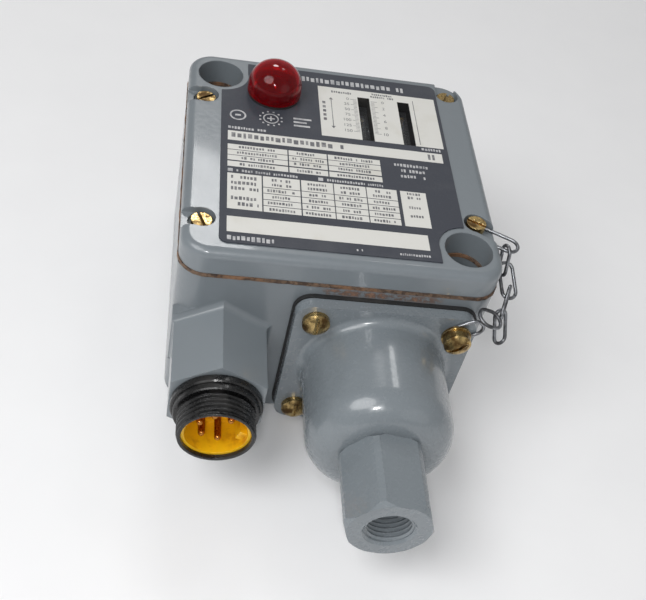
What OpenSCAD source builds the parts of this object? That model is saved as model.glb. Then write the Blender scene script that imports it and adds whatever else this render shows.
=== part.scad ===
// Pressure switch in a cast enclosure: bellows module, range and differential springs,
// lever, contact block, pilot light and pre-wired receptacle. Millimetres.
// The switch lies on its mounting back: Z = 0 is the mounting face, +Z comes out of the cover,
// +Y is the top of the device, and the pressure port and the receptacle point to -Y.

/* [Enclosure] */
// Width of the enclosure
case_w = 93.4; // [92:0.2:100]
// Height of the enclosure
case_h = 95; // [94:1:100]
// Depth of the cast base, from the mounting face to the gasket
base_depth = 55; // [54:1:60]
// Depth of the front cover
cover_depth = 8.3; // [7.8:0.1:10]
// Thickness of the cork gasket under the cover
gasket_t = 1.2; // [0.8:0.1:2]
// Radius of the upright corners
corner_r = 8; // [7:0.5:9]
// Radius of the rolled edge round the cover's face
edge_r = 2.5; // [1:0.5:3]
// Wall thickness of base and cover
wall_t = 4; // [3:0.5:4.5]

/* [Mounting] */
// Distance of each mounting bore from the centre lines
mount_offset = 36.5; // [35.5:0.5:37]
// Radius of the bore that a mounting screw's head goes down
counterbore_r = 7.25; // [6:0.25:7.5]
// Radius of the mounting screw's hole in the floor
mount_hole_r = 3.6; // [2.5:0.1:4.5]
// Thickness of the floor at the mounting screw
mount_floor_t = 7; // [5:1:12]

/* [Pressure module] */
// Distance of the port's axis to the right of the centre
port_x = 14.6; // [14:0.2:15.4]
// Height of the port's axis above the mounting face
port_z = 26; // [25.6:0.2:28]
// Radius of the bellows housing
housing_r = 21.6; // [20:0.2:22]
// Distance of the housing's outer end from the centre
housing_end = 85; // [84:0.5:88]
// Distance of the port's face from the centre
port_face = 108; // [104:1:114]
// Radius of the threaded port's bore
port_bore_r = 6.9; // [5:0.1:8]
// Depth of the threaded port's bore
port_bore_depth = 14; // [8:1:16]

/* [Receptacle] */
// Distance of the receptacle's axis from the centre (it is on the left)
plug_x = 32.5; // [32:0.1:32.6]
// Height of the receptacle's axis above the mounting face
plug_z = 28.5; // [28:0.5:30]
// Radius of the male thread
plug_thread_r = 11.1; // [10:0.1:11.5]
// Distance of the receptacle's mouth from the centre
plug_face = 83.1; // [82:0.1:86]

/* [Adjusters] */
// Distance of the range screw to the right of the centre
range_x = 10.5; // [10:0.1:10.8]
// Distance of the differential screw to the right of the centre
diff_x = 24; // [23.8:0.1:24.4]
// Place of the range pointer along its window
range_pointer_y = 29.5; // [28:0.5:30]
// Place of the differential pointer along its window
diff_pointer_y = 30; // [28:0.5:30]

/* [Hidden] */
$fn = 64;
eps = 0.05;

// Colours
paint_grey = [0.45, 0.48, 0.50];
cork_brown = [0.36, 0.24, 0.17];
label_charcoal = [0.27, 0.28, 0.32];
yellow_brass = [0.80, 0.65, 0.28];
bright_steel = [0.70, 0.71, 0.73];
black_rubber = [0.06, 0.06, 0.06];
black_plastic = [0.10, 0.10, 0.10];

// Heights of the enclosure's layers
floor_t = 4;
half_x = case_w / 2;
half_y = case_h / 2;
inner_x = half_x - wall_t;
inner_y = half_y - wall_t;
inner_r = corner_r - wall_t;
cover_z = base_depth + gasket_t;
face_z = cover_z + cover_depth;
cover_plate_t = 3.2;
recess_z = face_z - cover_plate_t;

// Cover screws: place, direction of the scallop beside each head, lift of each head, slot angle
screw_xy = [[-41, 24.5], [-41, -33.5], [40.5, 40], [40.7, -24.5]];
scallop_angle = [180, 180, 90, -31];
screw_lift = [0, 0, 0, 1.3];
slot_angle = [35, 110, 65, -25];
screw_r = 2;
screw_head_r = 3;
screw_head_t = 2.2;
screw_boss_r = 5.2;
pocket_r = 3.9;
pocket_z = face_z - 3.3;
scallop_r = 3.6;
scallop_l = 12;
scallop_depth = 2.2;
screw_end_z = base_depth - 12;
running_gap = 0.05;

// Mounting bores stand at the upper left and the lower right corners
mount_xy = [[-mount_offset, mount_offset], [mount_offset, -mount_offset]];
mount_boss_r = counterbore_r + 3;

// Label and windows
label_t = 0.4;
label_half = [36.2, 43.3];
label_corner_r = 2.5;
label_notch_r = counterbore_r + 1.8;
window_w = 4;
window_y = [9.3, 32];
pane_t = 1.2;

// Pilot light
lamp_xy = [-19.5, 28];
lamp_gasket_t = 0.8;
lens_r = 8.6;
lens_h = 10.7;
lens_wall = 1.5;
socket_r = 5.9;
socket_bottom_z = face_z - 17.5;
socket_top_z = face_z + 4;
lens_z = face_z + label_t + lamp_gasket_t;

// Hexagon hub cast on the base, which the receptacle screws into
hub_flats = 27;
hub_end = 70.8;
hub_fillet_r = 2;
hub_bore_r = 7.2;
hub_thread_r = 10.5;
plug_bore_r = 9.75;

// Flange of the pressure module
flange_half = [26.9, 25.4];
flange_corner_r = 5;
flange_t = 3.5;
flange_gasket_t = 1.2;
flange_gasket_rim = 0.7;
flange_y = half_y + flange_gasket_t;
flange_face = flange_y + flange_t;
flange_screw_pitch = [20.8, 19.6];
washer_t = [0.8, 1.1];
flange_screw_lift = [0, 1.3 + washer_t[0] + washer_t[1], 0, 0];
flange_screw_slot = [90, 40, 85, 10];
flange_screw_xz = [
  for (sz = [1, -1], sx = [-1, 1])
    [port_x + sx * flange_screw_pitch[0], port_z + sz * flange_screw_pitch[1]]
];
flange_head_r = 4;
housing_wall = 3;
housing_round = 9;

port_flats = 23.4;

// Inner mechanism
axis_z = 36;
lever_y = -13;
lever_t = 5;
lever_z = [20, 42];
pivot_x = 34;
pivot_r = 2;
lever_end_x = -24;
rod_r = 2.5;
contact_gap = 0.3;
frame_z = 8;
frame_t = 2;
lug_y = [35.5, 38];
spring_seat_y = lever_y + lever_t / 2;
plunger_x = -20;
plunger_z = 24;
block_x = [-36, -4];
block_y = [-6, 22];
block_z = [10, 24, 36];
terminal_x = [-29.5, -10.5];
contact_x = [-27, -13];
terminal_y = [5.5, 12.5];
guide_z = 50;
post_xy = [[-0.5, 20], [33.5, 20]];
frame_screw_xy = [[4, -14], [4, 30]];
block_screw_xy = [[-33, -3], [-8, 19]];
ground_xy = [-26, -28];

// Wires: routes from the pins into the enclosure, and from the terminals to the lamp
wire_r = 0.9;
pin_circle_r = 5;
pin_r = 1;
pin_angles = [40, 100, 160, 220, 280];
wire_routes = [
  [[-37.2, -63.8, 30.2], [-37.2, -60, 30.2], [-35.5, -52, 29.5], [-34.5, -44, 28.5],
   [-34.5, -38, 28.5], [-32, -31, 31], [-29, -23, 38], [-28.5, -13, 42.5], [-29.5, -4, 41],
   [-29.5, -0.5, 38.2], [-29.5, 2.6, 37.95]],
  [[-28.7, -63.8, 31.7], [-28.7, -60, 31.7], [-30, -52, 30.5], [-30, -44, 30.5],
   [-30, -38, 31], [-26, -31, 36], [-22, -23, 43], [-16, -13, 46], [-11.5, -4, 43],
   [-10.5, -0.5, 38.4], [-10.5, 2.6, 37.95]],
  [[-31.6, -63.8, 23.6], [-31.6, -60, 23.6], [-32, -52, 24.5], [-32, -44, 25],
   [-31.5, -38.5, 23.5], [-29, -35.5, 16], [-26.5, -34, 10], [-26, -32.6, 7.4],
   [-26, -31.2, 7]]
];
lead_routes = [
  [[-29.5, 15.3, 37.8], [-29.8, 18.5, 38.6], [-30, 22.5, 38.5], [-28, 26.5, 36.5],
   [-24.5, 28.3, 36], [-22.3, 28, 38.5], [-22, 28, 42.7]],
  [[-10.5, 15.3, 37.8], [-10, 18.5, 38.6], [-10.2, 22.5, 38.5], [-11.5, 26.5, 36.5],
   [-14.5, 28.3, 36], [-16.7, 28, 38.5], [-17, 28, 42.7]]
];

// Retaining chain, from the cover screw to the flange screw. Each loose link has its two ends,
// a direction across it and its width
link_wire_r = 0.55;
chain_start = [screw_xy[3][0], screw_xy[3][1], pocket_z + 0.6];
chain_end = [flange_screw_xz[1][0], -flange_face - 0.6, flange_screw_xz[1][1]];
screw_link_w = 5.6;
anchor_reach = [12.5, -6.7, 0];
tie_reach = [6.9, 0, 5];
loose_links = [
  [[49.5, -31.9, 63.3], [49.9, -34.6, 54.1], [-0.2, 0.9, 0], 4.2],
  [[50.4, -32.7, 57.3], [51.8, -42.7, 52.4], [1, 0.1, 0.1], 4.2],
  [[51.7, -40, 54.7], [49, -48.3, 49], [0.3, 0.4, -0.8], 4.2],
  [[48.6, -46.6, 51], [50.6, -51, 41.4], [0.9, 0.5, 0.3], 3.8]
];
ring_link = [[47.9, -51, 50.6], [40.8, -51.7, 53.2], [-0.1, 0.7, 0.1], 6];

// ---- Shapes used by several parts ----

module rounded_rect(half, r) {
  square([2 * half[0] - 2 * r, 2 * half[1]], center = true);
  square([2 * half[0], 2 * half[1] - 2 * r], center = true);
  for (sx = [-1, 1], sy = [-1, 1])
    translate([sx * (half[0] - r), sy * (half[1] - r)]) circle(r);
}

module slab(half, r, z0, z1) {
  translate([0, 0, z0]) linear_extrude(z1 - z0) rounded_rect(half, r);
}

module post(xy, r, z0, z1) {
  translate([xy[0], xy[1], z0]) cylinder(r = r, h = z1 - z0);
}

module box(x, y, z) {
  translate([x[0], y[0], z[0]]) cube([x[1] - x[0], y[1] - y[0], z[1] - z[0]]);
}

// Children drawn along +Z are laid along -Y, on the axis through x and z
module outward(x, z) {
  translate([x, 0, z]) rotate([90, 0, 0]) children();
}

// Children drawn along +Z are laid along +Y, on the axis through x and z
module upward(x, z) {
  translate([x, 0, z]) rotate([-90, 0, 0]) children();
}

module rod(r, z0, z1) {
  translate([0, 0, z0]) cylinder(r = r, h = z1 - z0);
}

module tube(r_out, r_in, z0, z1) {
  difference() {
    rod(r_out, z0, z1);
    rod(r_in, z0 - 1, z1 + 1);
  }
}

module hex(across_flats, z0, z1) {
  translate([0, 0, z0]) cylinder(r = across_flats / sqrt(3), h = z1 - z0, $fn = 6);
}

// Slotted head with a shank below it, the head's seat at z = 0
module slotted_screw(head_r, head_t, shank_r, shank_l, angle) {
  slot_w = head_r / 3.4;
  difference() {
    rod(head_r, 0, head_t);
    rotate(angle)
      translate([-head_r - 1, -slot_w / 2, head_t * 0.5]) cube([2 * head_r + 2, slot_w, head_t]);
  }
  rod(shank_r, -shank_l, 0);
}

function unit(v) = v / norm(v);
function at(path, i) = path[max(0, min(len(path) - 1, i))];
function heading(path, i, closed) =
  closed ? unit(path[(i + 1) % len(path)] - path[(i + len(path) - 1) % len(path)])
         : unit(at(path, i + 1) - at(path, i - 1));
function ring(centre, along, ref, r, sides) =
  let (a = unit(cross(along, ref)), b = cross(along, a))
    [for (k = [0:sides - 1]) centre + r * (cos(360 * k / sides) * a + sin(360 * k / sides) * b)];

// Round wire along a path, ref is a direction that the path never takes
module wire(path, r, ref, closed = false, sides = 8) {
  rings = len(path);
  points = [for (i = [0:rings - 1]) each ring(path[i], heading(path, i, closed), ref, r, sides)];
  bands = closed ? rings : rings - 1;
  skin = [
    for (i = [0:bands - 1], k = [0:sides - 1])
      let (j = (i + 1) % rings, m = (k + 1) % sides)
        each [[i * sides + k, i * sides + m, j * sides + m],
              [i * sides + k, j * sides + m, j * sides + k]]
  ];
  caps = closed ? [] : [
    [for (k = [sides - 1:-1:0]) k],
    [for (k = [0:sides - 1]) (rings - 1) * sides + k]
  ];
  polyhedron(points, concat(skin, caps), convexity = 6);
}

// Points of a smooth curve through the given points
function curve(p, steps) = [
  for (i = [0:len(p) - 2], s = [0:steps - 1]) spline(p, i, s / steps),
  p[len(p) - 1]
];
function spline(p, i, t) =
  let (a = at(p, i - 1), b = p[i], c = p[i + 1], d = at(p, i + 2))
    0.5 * (2 * b + (c - a) * t + (2 * a - 5 * b + 4 * c - d) * t * t
           + (3 * b - a - 3 * c + d) * t * t * t);

// Compression spring along +Z from z0 to z1
module coil_spring(coil_r, r, z0, z1, turns) {
  steps = 12;
  low = z0 + r;
  rise = z1 - z0 - 2 * r;
  path = [
    for (i = [0:turns * steps])
      [coil_r * cos(360 * i / steps), coil_r * sin(360 * i / steps),
       low + rise * i / (turns * steps)]
  ];
  wire(path, r, [0, 0, 1], sides = 6);
}

// Oval wire link that runs from a to b and is as wide as given
module link(a, b, side, width) {
  along = unit(b - a);
  across = unit(side - (side * along) * along);
  centre = (a + b) / 2;
  reach = (norm(b - a) - width) / 2;
  arc = 12;
  path = [
    for (end = [1, -1], i = [0:arc])
      let (t = -90 + 180 * i / arc)
        centre + end * (reach + width / 2 * cos(t)) * along + end * width / 2 * sin(t) * across
  ];
  wire(path, link_wire_r, cross(along, across), closed = true, sides = 8);
}

// ---- Enclosure ----

// Side view of two opposite flats of the hub, with the fillets at its root
module hub_outline(from, to) {
  half = hub_flats / 2;
  reach = half + hub_fillet_r;
  translate([-half, from]) square([2 * half, to - from]);
  difference() {
    translate([-reach, from]) square([2 * reach, half_y + hub_fillet_r - from]);
    for (s = [-1, 1]) translate([s * reach, half_y + hub_fillet_r]) circle(hub_fillet_r);
  }
}

module conduit_hub()
  intersection() {
    outward(-plug_x, plug_z) intersection_for (turn = [0, 60, 120])
      rotate(turn) rotate([90, 0, 0])
        linear_extrude(60, center = true) hub_outline(inner_y, hub_end);
    box([-half_x, half_x], [-hub_end - 1, 0], [1, base_depth - 1]);
  }

module base_housing() color(paint_grey)
  difference() {
    union() {
      difference() {
        slab([half_x, half_y], corner_r, 0, base_depth);
        slab([inner_x, inner_y], inner_r, floor_t, base_depth + 1);
      }
      intersection() {
        slab([half_x - 1, half_y - 1], corner_r - 1, 0, base_depth);
        union() {
          for (p = mount_xy) post(p, mount_boss_r, 1, base_depth);
          for (p = screw_xy) post(p, screw_boss_r, 1, base_depth);
        }
      }
      for (p = frame_screw_xy) post(p, 5, 1, frame_z);
      for (p = block_screw_xy) post(p, 4, 1, block_z[0]);
      post(ground_xy, 4, 1, 6);
      for (p = flange_screw_xz) outward(p[0], p[1]) rod(5, inner_y - 2.5, half_y - 1);
      conduit_hub();
    }
    for (p = mount_xy) {
      post(p, counterbore_r, mount_floor_t, base_depth + 1);
      post(p, mount_hole_r, -1, mount_floor_t + 1);
    }
    for (p = screw_xy) post(p, screw_r + running_gap, screw_end_z - 2, base_depth + 1);
    for (p = frame_screw_xy) post(p, 1.5, floor_t, frame_z + 1);
    for (p = block_screw_xy) post(p, 1.5, floor_t, block_z[0] + 1);
    post(ground_xy, 1.5, 2, 7);
    outward(-plug_x, plug_z) {
      rod(hub_bore_r, inner_y - 1, hub_end + 1);
      rod(hub_thread_r, hub_end - 9, hub_end + 1);
    }
    outward(port_x, port_z) rod(6, inner_y - 1, half_y + 1);
    for (p = flange_screw_xz) outward(p[0], p[1]) rod(2, half_y - 3.1, half_y + 1);
  }

module cover_gasket() color(cork_brown)
  difference() {
    union() {
      difference() {
        slab([half_x + 0.2, half_y + 0.2], corner_r, base_depth, cover_z);
        slab([inner_x, inner_y], inner_r, base_depth - 1, cover_z + 1);
      }
      intersection() {
        slab([half_x - 1, half_y - 1], corner_r - 1, base_depth, cover_z);
        union() {
          for (p = mount_xy) post(p, mount_boss_r, base_depth, cover_z);
          for (p = screw_xy) post(p, screw_boss_r, base_depth, cover_z);
        }
      }
    }
    for (p = mount_xy) post(p, counterbore_r - 0.4, base_depth - 1, cover_z + 1);
    for (p = screw_xy) post(p, screw_r + 0.4, base_depth - 1, cover_z + 1);
  }

// Outline of one edge seen from the side, half the width of a slab with a rolled upper edge
module rolled_outline(from, half, z0, z1, roll) {
  translate([from, z0]) square([half - from, z1 - roll - z0]);
  translate([from, z0]) square([half - roll - from, z1 - z0]);
  translate([half - roll, z1 - roll]) intersection() {
    circle(roll);
    square(roll + 1);
  }
}

// Slab whose upper edge is rolled over
module rolled_slab(half, r, z0, z1, roll) {
  for (turn = [0, 180]) {
    rotate(turn) rotate([90, 0, 0]) linear_extrude(2 * (half[1] - r), center = true)
      rolled_outline(0, half[0], z0, z1, roll);
    rotate(turn + 90) rotate([90, 0, 0]) linear_extrude(2 * (half[0] - r), center = true)
      rolled_outline(0, half[1], z0, z1, roll);
  }
  for (sx = [-1, 1], sy = [-1, 1])
    translate([sx * (half[0] - r), sy * (half[1] - r), 0])
      rotate_extrude() rolled_outline(0, r, z0, z1, roll);
}

module front_cover() color(paint_grey)
  difference() {
    union() {
      difference() {
        rolled_slab([half_x, half_y], corner_r, cover_z, face_z, edge_r);
        slab([inner_x, inner_y], inner_r, cover_z - 1, recess_z);
      }
      intersection() {
        slab([half_x - 1, half_y - 1], corner_r - 1, cover_z, face_z - 1);
        union() {
          for (p = mount_xy) post(p, mount_boss_r, cover_z, recess_z + 1);
          for (p = screw_xy) post(p, screw_boss_r, cover_z, recess_z + 1);
        }
      }
    }
    for (p = mount_xy) post(p, counterbore_r, cover_z - 1, face_z + 1);
    for (i = [0:3]) {
      depth = screw_lift[i] > 0 ? face_z - pocket_z : scallop_depth;
      post(screw_xy[i], pocket_r, pocket_z, face_z + 1);
      post(screw_xy[i], screw_r + 0.3, cover_z - 1, face_z);
      translate([screw_xy[i][0], screw_xy[i][1], face_z - depth])
        rotate(scallop_angle[i])
          translate([0, -scallop_r, 0]) cube([scallop_l, 2 * scallop_r, depth + 1]);
    }
    for (x = [range_x, diff_x])
      box([x - window_w / 2, x + window_w / 2], window_y, [recess_z - 1, face_z + 1]);
    post(lamp_xy, socket_r + 0.1, recess_z - 1, face_z + 1);
  }

module cover_screws() color(yellow_brass)
  for (i = [0:3])
    translate([screw_xy[i][0], screw_xy[i][1], pocket_z + screw_lift[i]])
      slotted_screw(screw_head_r, screw_head_t, screw_r,
                    pocket_z + screw_lift[i] - screw_end_z, slot_angle[i]);

module label_plate() color(label_charcoal)
  difference() {
    slab(label_half, label_corner_r, face_z, face_z + label_t);
    for (p = mount_xy) {
      outer = sign(p[1]) * 60;
      post(p, label_notch_r, face_z - 1, face_z + 1);
      box([p[0] - label_notch_r + 0.15, p[0] + label_notch_r - 0.15],
          [min(p[1], outer), max(p[1], outer)], [face_z - 1, face_z + 1]);
    }
    for (x = [range_x, diff_x])
      box([x - window_w / 2, x + window_w / 2], window_y, [face_z - 1, face_z + 1]);
    post(lamp_xy, socket_r + 0.1, face_z - 1, face_z + 1);
  }

module window_pane() color([0.85, 0.90, 0.92, 0.35])
  box([range_x - 5, diff_x + 5], [window_y[0] - 3, window_y[1] + 3], [recess_z - pane_t, recess_z]);

// ---- Pilot light ----

module lens_gasket() color(black_rubber)
  translate([lamp_xy[0], lamp_xy[1], 0]) tube(lens_r - 0.3, socket_r + 0.1, face_z + label_t, lens_z);

// Quarter outline of a dome with a straight band below it
module dome_outline(r, band) {
  square([r, band]);
  translate([0, band]) intersection() {
    circle(r);
    square(r + 1);
  }
}

module pilot_lens() color([0.60, 0.02, 0.04, 0.8])
  translate([lamp_xy[0], lamp_xy[1], lens_z])
    rotate_extrude() difference() {
      dome_outline(lens_r, lens_h - lens_r);
      translate([0, -1]) dome_outline(lens_r - lens_wall, lens_h - lens_r + 1);
    }

module lamp_socket() color(black_plastic)
  translate([lamp_xy[0], lamp_xy[1], 0]) difference() {
    rod(socket_r, socket_bottom_z, socket_top_z);
    rod(socket_r - 1.2, socket_bottom_z + 2, socket_top_z + 1);
  }

module lamp_nut() color(bright_steel)
  translate([lamp_xy[0], lamp_xy[1], 0]) difference() {
    hex(14, recess_z - 3.5, recess_z);
    rod(socket_r, recess_z - 5, recess_z + 1);
  }

module lamp_bulb() color([0.9, 0.9, 0.85, 0.4])
  translate([lamp_xy[0], lamp_xy[1], face_z + 3.5]) {
    sphere(4.2);
    rod(3, -6.5, 0);
  }

module lamp_bulb_base() color(yellow_brass)
  translate([lamp_xy[0], lamp_xy[1], face_z - 3]) {
    rod(4.4, -9, 0);
    rod(2, -12.4, -9);
  }

module lamp_terminals() color(yellow_brass)
  for (s = [-1, 1])
    box([lamp_xy[0] + s * 2.5 - 1.2, lamp_xy[0] + s * 2.5 + 1.2],
        [lamp_xy[1] - 0.3, lamp_xy[1] + 0.3], [socket_bottom_z - 4, socket_bottom_z]);

module lamp_leads() color([0.75, 0.75, 0.72])
  for (route = lead_routes) wire(curve(route, 5), wire_r * 0.8, [0.9, 0.1, 0]);

// ---- Receptacle ----

module connector_shell() color(black_plastic)
  outward(-plug_x, plug_z) difference() {
    union() {
      rod(hub_thread_r, 62, 72);
      rod(13.1, 70.8, 73.4);
      rod(12.3, 73, 75.4);
      rod(plug_thread_r, 75, plug_face);
    }
    rod(plug_bore_r, 66, plug_face + 1);
    rod(8, 61, 67);
  }

module connector_insert() color([0.92, 0.70, 0.05])
  outward(-plug_x, plug_z) difference() {
    union() {
      rod(plug_bore_r, 66, 71);
      tube(plug_bore_r, plug_bore_r - 0.9, 70, plug_face - 1.4);
      rotate(-20) box([6.6, plug_bore_r - 0.5], [-1.6, 1.6], [70, plug_face - 3.2]);
    }
    for (a = pin_angles) rotate(a) translate([pin_circle_r, 0, 0]) rod(pin_r, 60, 72);
  }

module connector_pins() color(yellow_brass)
  outward(-plug_x, plug_z)
    for (a = pin_angles) rotate(a) translate([pin_circle_r, 0, 0]) {
      rod(pin_r, 64, plug_face - 4.1);
      translate([0, 0, plug_face - 4.1]) sphere(pin_r);
    }

module connector_wires() color([0.75, 0.72, 0.66])
  for (route = wire_routes) wire(curve(route, 4), wire_r, [0.9, 0, 0.1]);

// ---- Pressure module ----

module flange_plate(rim, y0, y1) {
  outward(port_x, port_z) slab([flange_half[0] + rim, flange_half[1] + rim],
                               flange_corner_r + rim, y0, y1);
}

module flange_gasket() color(black_rubber)
  difference() {
    flange_plate(flange_gasket_rim - 0.1, half_y, flange_y);
    outward(port_x, port_z) rod(housing_r - housing_wall, half_y - 1, flange_y + 1);
    for (p = flange_screw_xz) outward(p[0], p[1]) rod(screw_r, half_y - 1, flange_y + 1);
  }

// Half outline of the bellows housing, from its flange to its rounded outer end
module housing_outline(r, round_r, from, to) {
  square_h = to - round_r - from;
  translate([0, from]) square([r, square_h]);
  translate([0, from]) square([r - round_r, to - from]);
  translate([r - round_r, to - round_r]) intersection() {
    circle(round_r);
    square(round_r);
  }
}

module pressure_housing() color(paint_grey)
  difference() {
    union() {
      flange_plate(0, flange_y, flange_face);
      outward(port_x, port_z) rotate_extrude() {
        housing_outline(housing_r, housing_round, flange_face - 1, housing_end);
        difference() {
          translate([housing_r - 1, flange_face - 1]) square([3.5, 3.5]);
          translate([housing_r + 2.5, flange_face + 2.5]) circle(2.5);
        }
      }
    }
    outward(port_x, port_z) {
      rotate_extrude()
        housing_outline(housing_r - housing_wall, housing_round - housing_wall,
                        flange_y - 1, housing_end - housing_wall);
      rod(7.5, housing_end - 5, housing_end + 1);
    }
    for (p = flange_screw_xz) outward(p[0], p[1]) rod(screw_r, flange_y - 1, flange_face + 1);
  }

module flange_screws() color(yellow_brass)
  for (i = [0:3])
    outward(flange_screw_xz[i][0], flange_screw_xz[i][1])
      translate([0, 0, flange_face + flange_screw_lift[i]]) {
        rod(screw_r, half_y - 3 - flange_face - flange_screw_lift[i], 0);
        difference() {
          intersection() {
            rod(flange_head_r, 0, 3.4);
            translate([0, 0, -2.2]) sphere(5.6);
          }
          rotate(flange_screw_slot[i])
            translate([-5, -0.6, 2.1]) cube([10, 1.2, 2]);
        }
      }

// Flat washer, and a split lock washer under the screw that holds the chain
module chain_washers() color(yellow_brass)
  outward(flange_screw_xz[1][0], flange_screw_xz[1][1]) {
    low = flange_face + 1.3;
    tube(4.4, screw_r + 0.1, low, low + washer_t[0]);
    difference() {
      tube(3.9, screw_r + 0.1, low + washer_t[0] + eps, low + washer_t[0] + washer_t[1]);
      rotate(200) box([0, 5], [-0.4, 0.4], [low + washer_t[0], low + 3]);
    }
  }

module port_fitting() color(paint_grey)
  outward(port_x, port_z) difference() {
    union() {
      intersection() {
        rotate(20) rotate(30) hex(port_flats, housing_end, port_face);
        rotate_extrude() polygon([
          [0, housing_end], [12.3, housing_end], [13, housing_end + 0.8],
          [13, port_face - 1.3], [11.8, port_face], [0, port_face]
        ]);
      }
      rod(7.5, housing_end - 5, housing_end + 1);
      rod(10.5, housing_end - 5, housing_end - housing_wall);
    }
    rod(port_bore_r, port_face - port_bore_depth, port_face + 1);
    translate([0, 0, port_face - 0.7])
      cylinder(r1 = port_bore_r, r2 = port_bore_r + 1, h = 1);
    rod(3, housing_end - 6, port_face);
  }

bellows_y = [56, 80];
bellows_folds = 8;

module bellows() color(yellow_brass)
  outward(port_x, port_z) {
    pitch = (bellows_y[1] - bellows_y[0]) / bellows_folds;
    zig = [
      for (i = [0:2 * bellows_folds])
        [i % 2 == 0 ? 11.5 : 15, bellows_y[0] + i * pitch / 2]
    ];
    rotate_extrude() polygon(concat(zig, [
      for (i = [2 * bellows_folds:-1:0]) [zig[i][0] - 0.6, zig[i][1]]
    ]));
  }

module bellows_cap() color(bright_steel)
  outward(port_x, port_z) rod(12, 54, bellows_y[0]);

module push_rod() color(bright_steel)
  upward(port_x, port_z) {
    top = lever_y - lever_t / 2 - contact_gap;
    rod(rod_r, -54, top - 1);
    translate([0, 0, top - 1]) intersection() {
      rod(rod_r, 0, 1);
      translate([0, 0, -3]) sphere(4);
    }
  }

module rod_guide() color(yellow_brass)
  outward(port_x, port_z) difference() {
    union() {
      rod(6, inner_y - 2, half_y);
      rod(8, inner_y - 2, inner_y);
    }
    rod(rod_r + running_gap, inner_y - 3, half_y + 1);
  }

// ---- Frame and lever ----

module mechanism_frame() color([0.62, 0.63, 0.60])
  difference() {
    union() {
      box([-3.6, 39], [-18, 33], [frame_z, frame_z + frame_t]);
      box([-1, 33], [30, lug_y[1]], [frame_z, frame_z + frame_t]);
      box([2, 31], lug_y, [frame_z, 46]);
    }
    upward(range_x, axis_z) rod(2.5 + running_gap, 30, 40);
    upward(diff_x, axis_z) rod(2 + running_gap, 30, 40);
    for (p = frame_screw_xy) post(p, 1.7, frame_z - 1, frame_z + frame_t + 1);
    for (p = post_xy) post(p, 1.5, frame_z - 1, frame_z + frame_t + 1);
    post([pivot_x, lever_y], pivot_r, frame_z - 1, frame_z + frame_t + 1);
  }

module frame_screws() color(bright_steel)
  for (p = frame_screw_xy)
    translate([p[0], p[1], frame_z + frame_t]) slotted_screw(2.8, 1.8, 1.5, 5.9, 20);

module pivot_pin() color(bright_steel)
  post([pivot_x, lever_y], pivot_r, frame_z, 45);

module pivot_spacer() color(yellow_brass)
  translate([pivot_x, lever_y, 0]) tube(4, pivot_r, frame_z + frame_t, lever_z[0] - contact_gap);

module pivot_clip() color(bright_steel)
  translate([pivot_x, lever_y, 0]) tube(4, pivot_r, lever_z[1] + contact_gap, lever_z[1] + 1.2);

module main_lever() color([0.66, 0.66, 0.62])
  difference() {
    union() {
      box([lever_end_x, pivot_x], [lever_y - lever_t / 2, lever_y + lever_t / 2],
          [lever_z[0], lever_z[1]]);
      post([pivot_x, lever_y], 4.5, lever_z[0], lever_z[1]);
      upward(range_x, axis_z) rod(3.9, spring_seat_y - 1, spring_seat_y + 2);
      upward(diff_x, axis_z) rod(2.7, spring_seat_y - 1, spring_seat_y + 2);
    }
    post([pivot_x, lever_y], pivot_r + running_gap, lever_z[0] - 1, lever_z[1] + 1);
    translate([0, lever_y, 0])
      for (x = [-13, -2])
        upward(x, 33) rod(4, -lever_t, lever_t);
  }

// Threaded spindle held in the frame's lug, turned by its hexagon head
module adjusting_screw(x, r, collar_r, flats) {
  upward(x, axis_z) difference() {
    union() {
      rod(r, -5, 38.4);
      rod(collar_r, lug_y[0] - 2.1, lug_y[0] - contact_gap);
      hex(flats, lug_y[1] + contact_gap, 42.3);
    }
    translate([-5, -0.5, 41.3]) cube([10, 1, 2]);
  }
}

module range_screw() color(yellow_brass) adjusting_screw(range_x, 2.5, 4, 8);

module differential_screw() color(bright_steel) adjusting_screw(diff_x, 2, 3.4, 7);

// Square nut that carries a pointer up to the window
module pointer_nut(x, y, half, r) {
  difference() {
    union() {
      box([x - half, x + half], [y - 2.5, y + 2.5], [axis_z - half, axis_z + half]);
      box([x - 1.5, x + 1.5], [y - 0.8, y + 0.8], [axis_z + half - 1, recess_z - 4]);
    }
    upward(x, axis_z) rod(r + running_gap, y - 4, y + 4);
  }
}

module range_nut() color(yellow_brass) pointer_nut(range_x, range_pointer_y, 5, 2.5);

module differential_nut() color(yellow_brass) pointer_nut(diff_x, diff_pointer_y, 4, 2);

module range_spring() color(bright_steel)
  upward(range_x, axis_z)
    coil_spring(5.1, 0.8, spring_seat_y + 0.05, range_pointer_y - 2.55, 9);

module differential_spring() color(bright_steel)
  upward(diff_x, axis_z)
    coil_spring(3.5, 0.5, spring_seat_y + 0.05, diff_pointer_y - 2.55, 12);

module guide_posts() color(bright_steel)
  for (p = post_xy) {
    post(p, 1.5, frame_z, frame_z + frame_t + 1);
    post(p, 2.4, frame_z + frame_t, guide_z);
  }

module guide_plate() color([0.12, 0.12, 0.12])
  difference() {
    box([-3.5, 36.5], [6, 35], [guide_z, guide_z + 1]);
    for (x = [range_x, diff_x])
      box([x - 2.2, x + 2.2], [window_y[0] + 1, window_y[1] + 0.5], [guide_z - 1, guide_z + 2]);
    for (p = post_xy) post(p, 1, guide_z - 1, guide_z + 2);
  }

module guide_plate_screws() color(bright_steel)
  for (p = post_xy)
    translate([p[0], p[1], guide_z + 1]) slotted_screw(2, 1.2, 1, 1, 70);

// ---- Contact block ----

module plunger_hole() {
  upward(plunger_x, plunger_z) rod(rod_r + running_gap, block_y[0] - 1, 1);
}

module block_cavity(z0, z1) {
  box([-31, -9], [0, 16], [z0, z1]);
}

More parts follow.
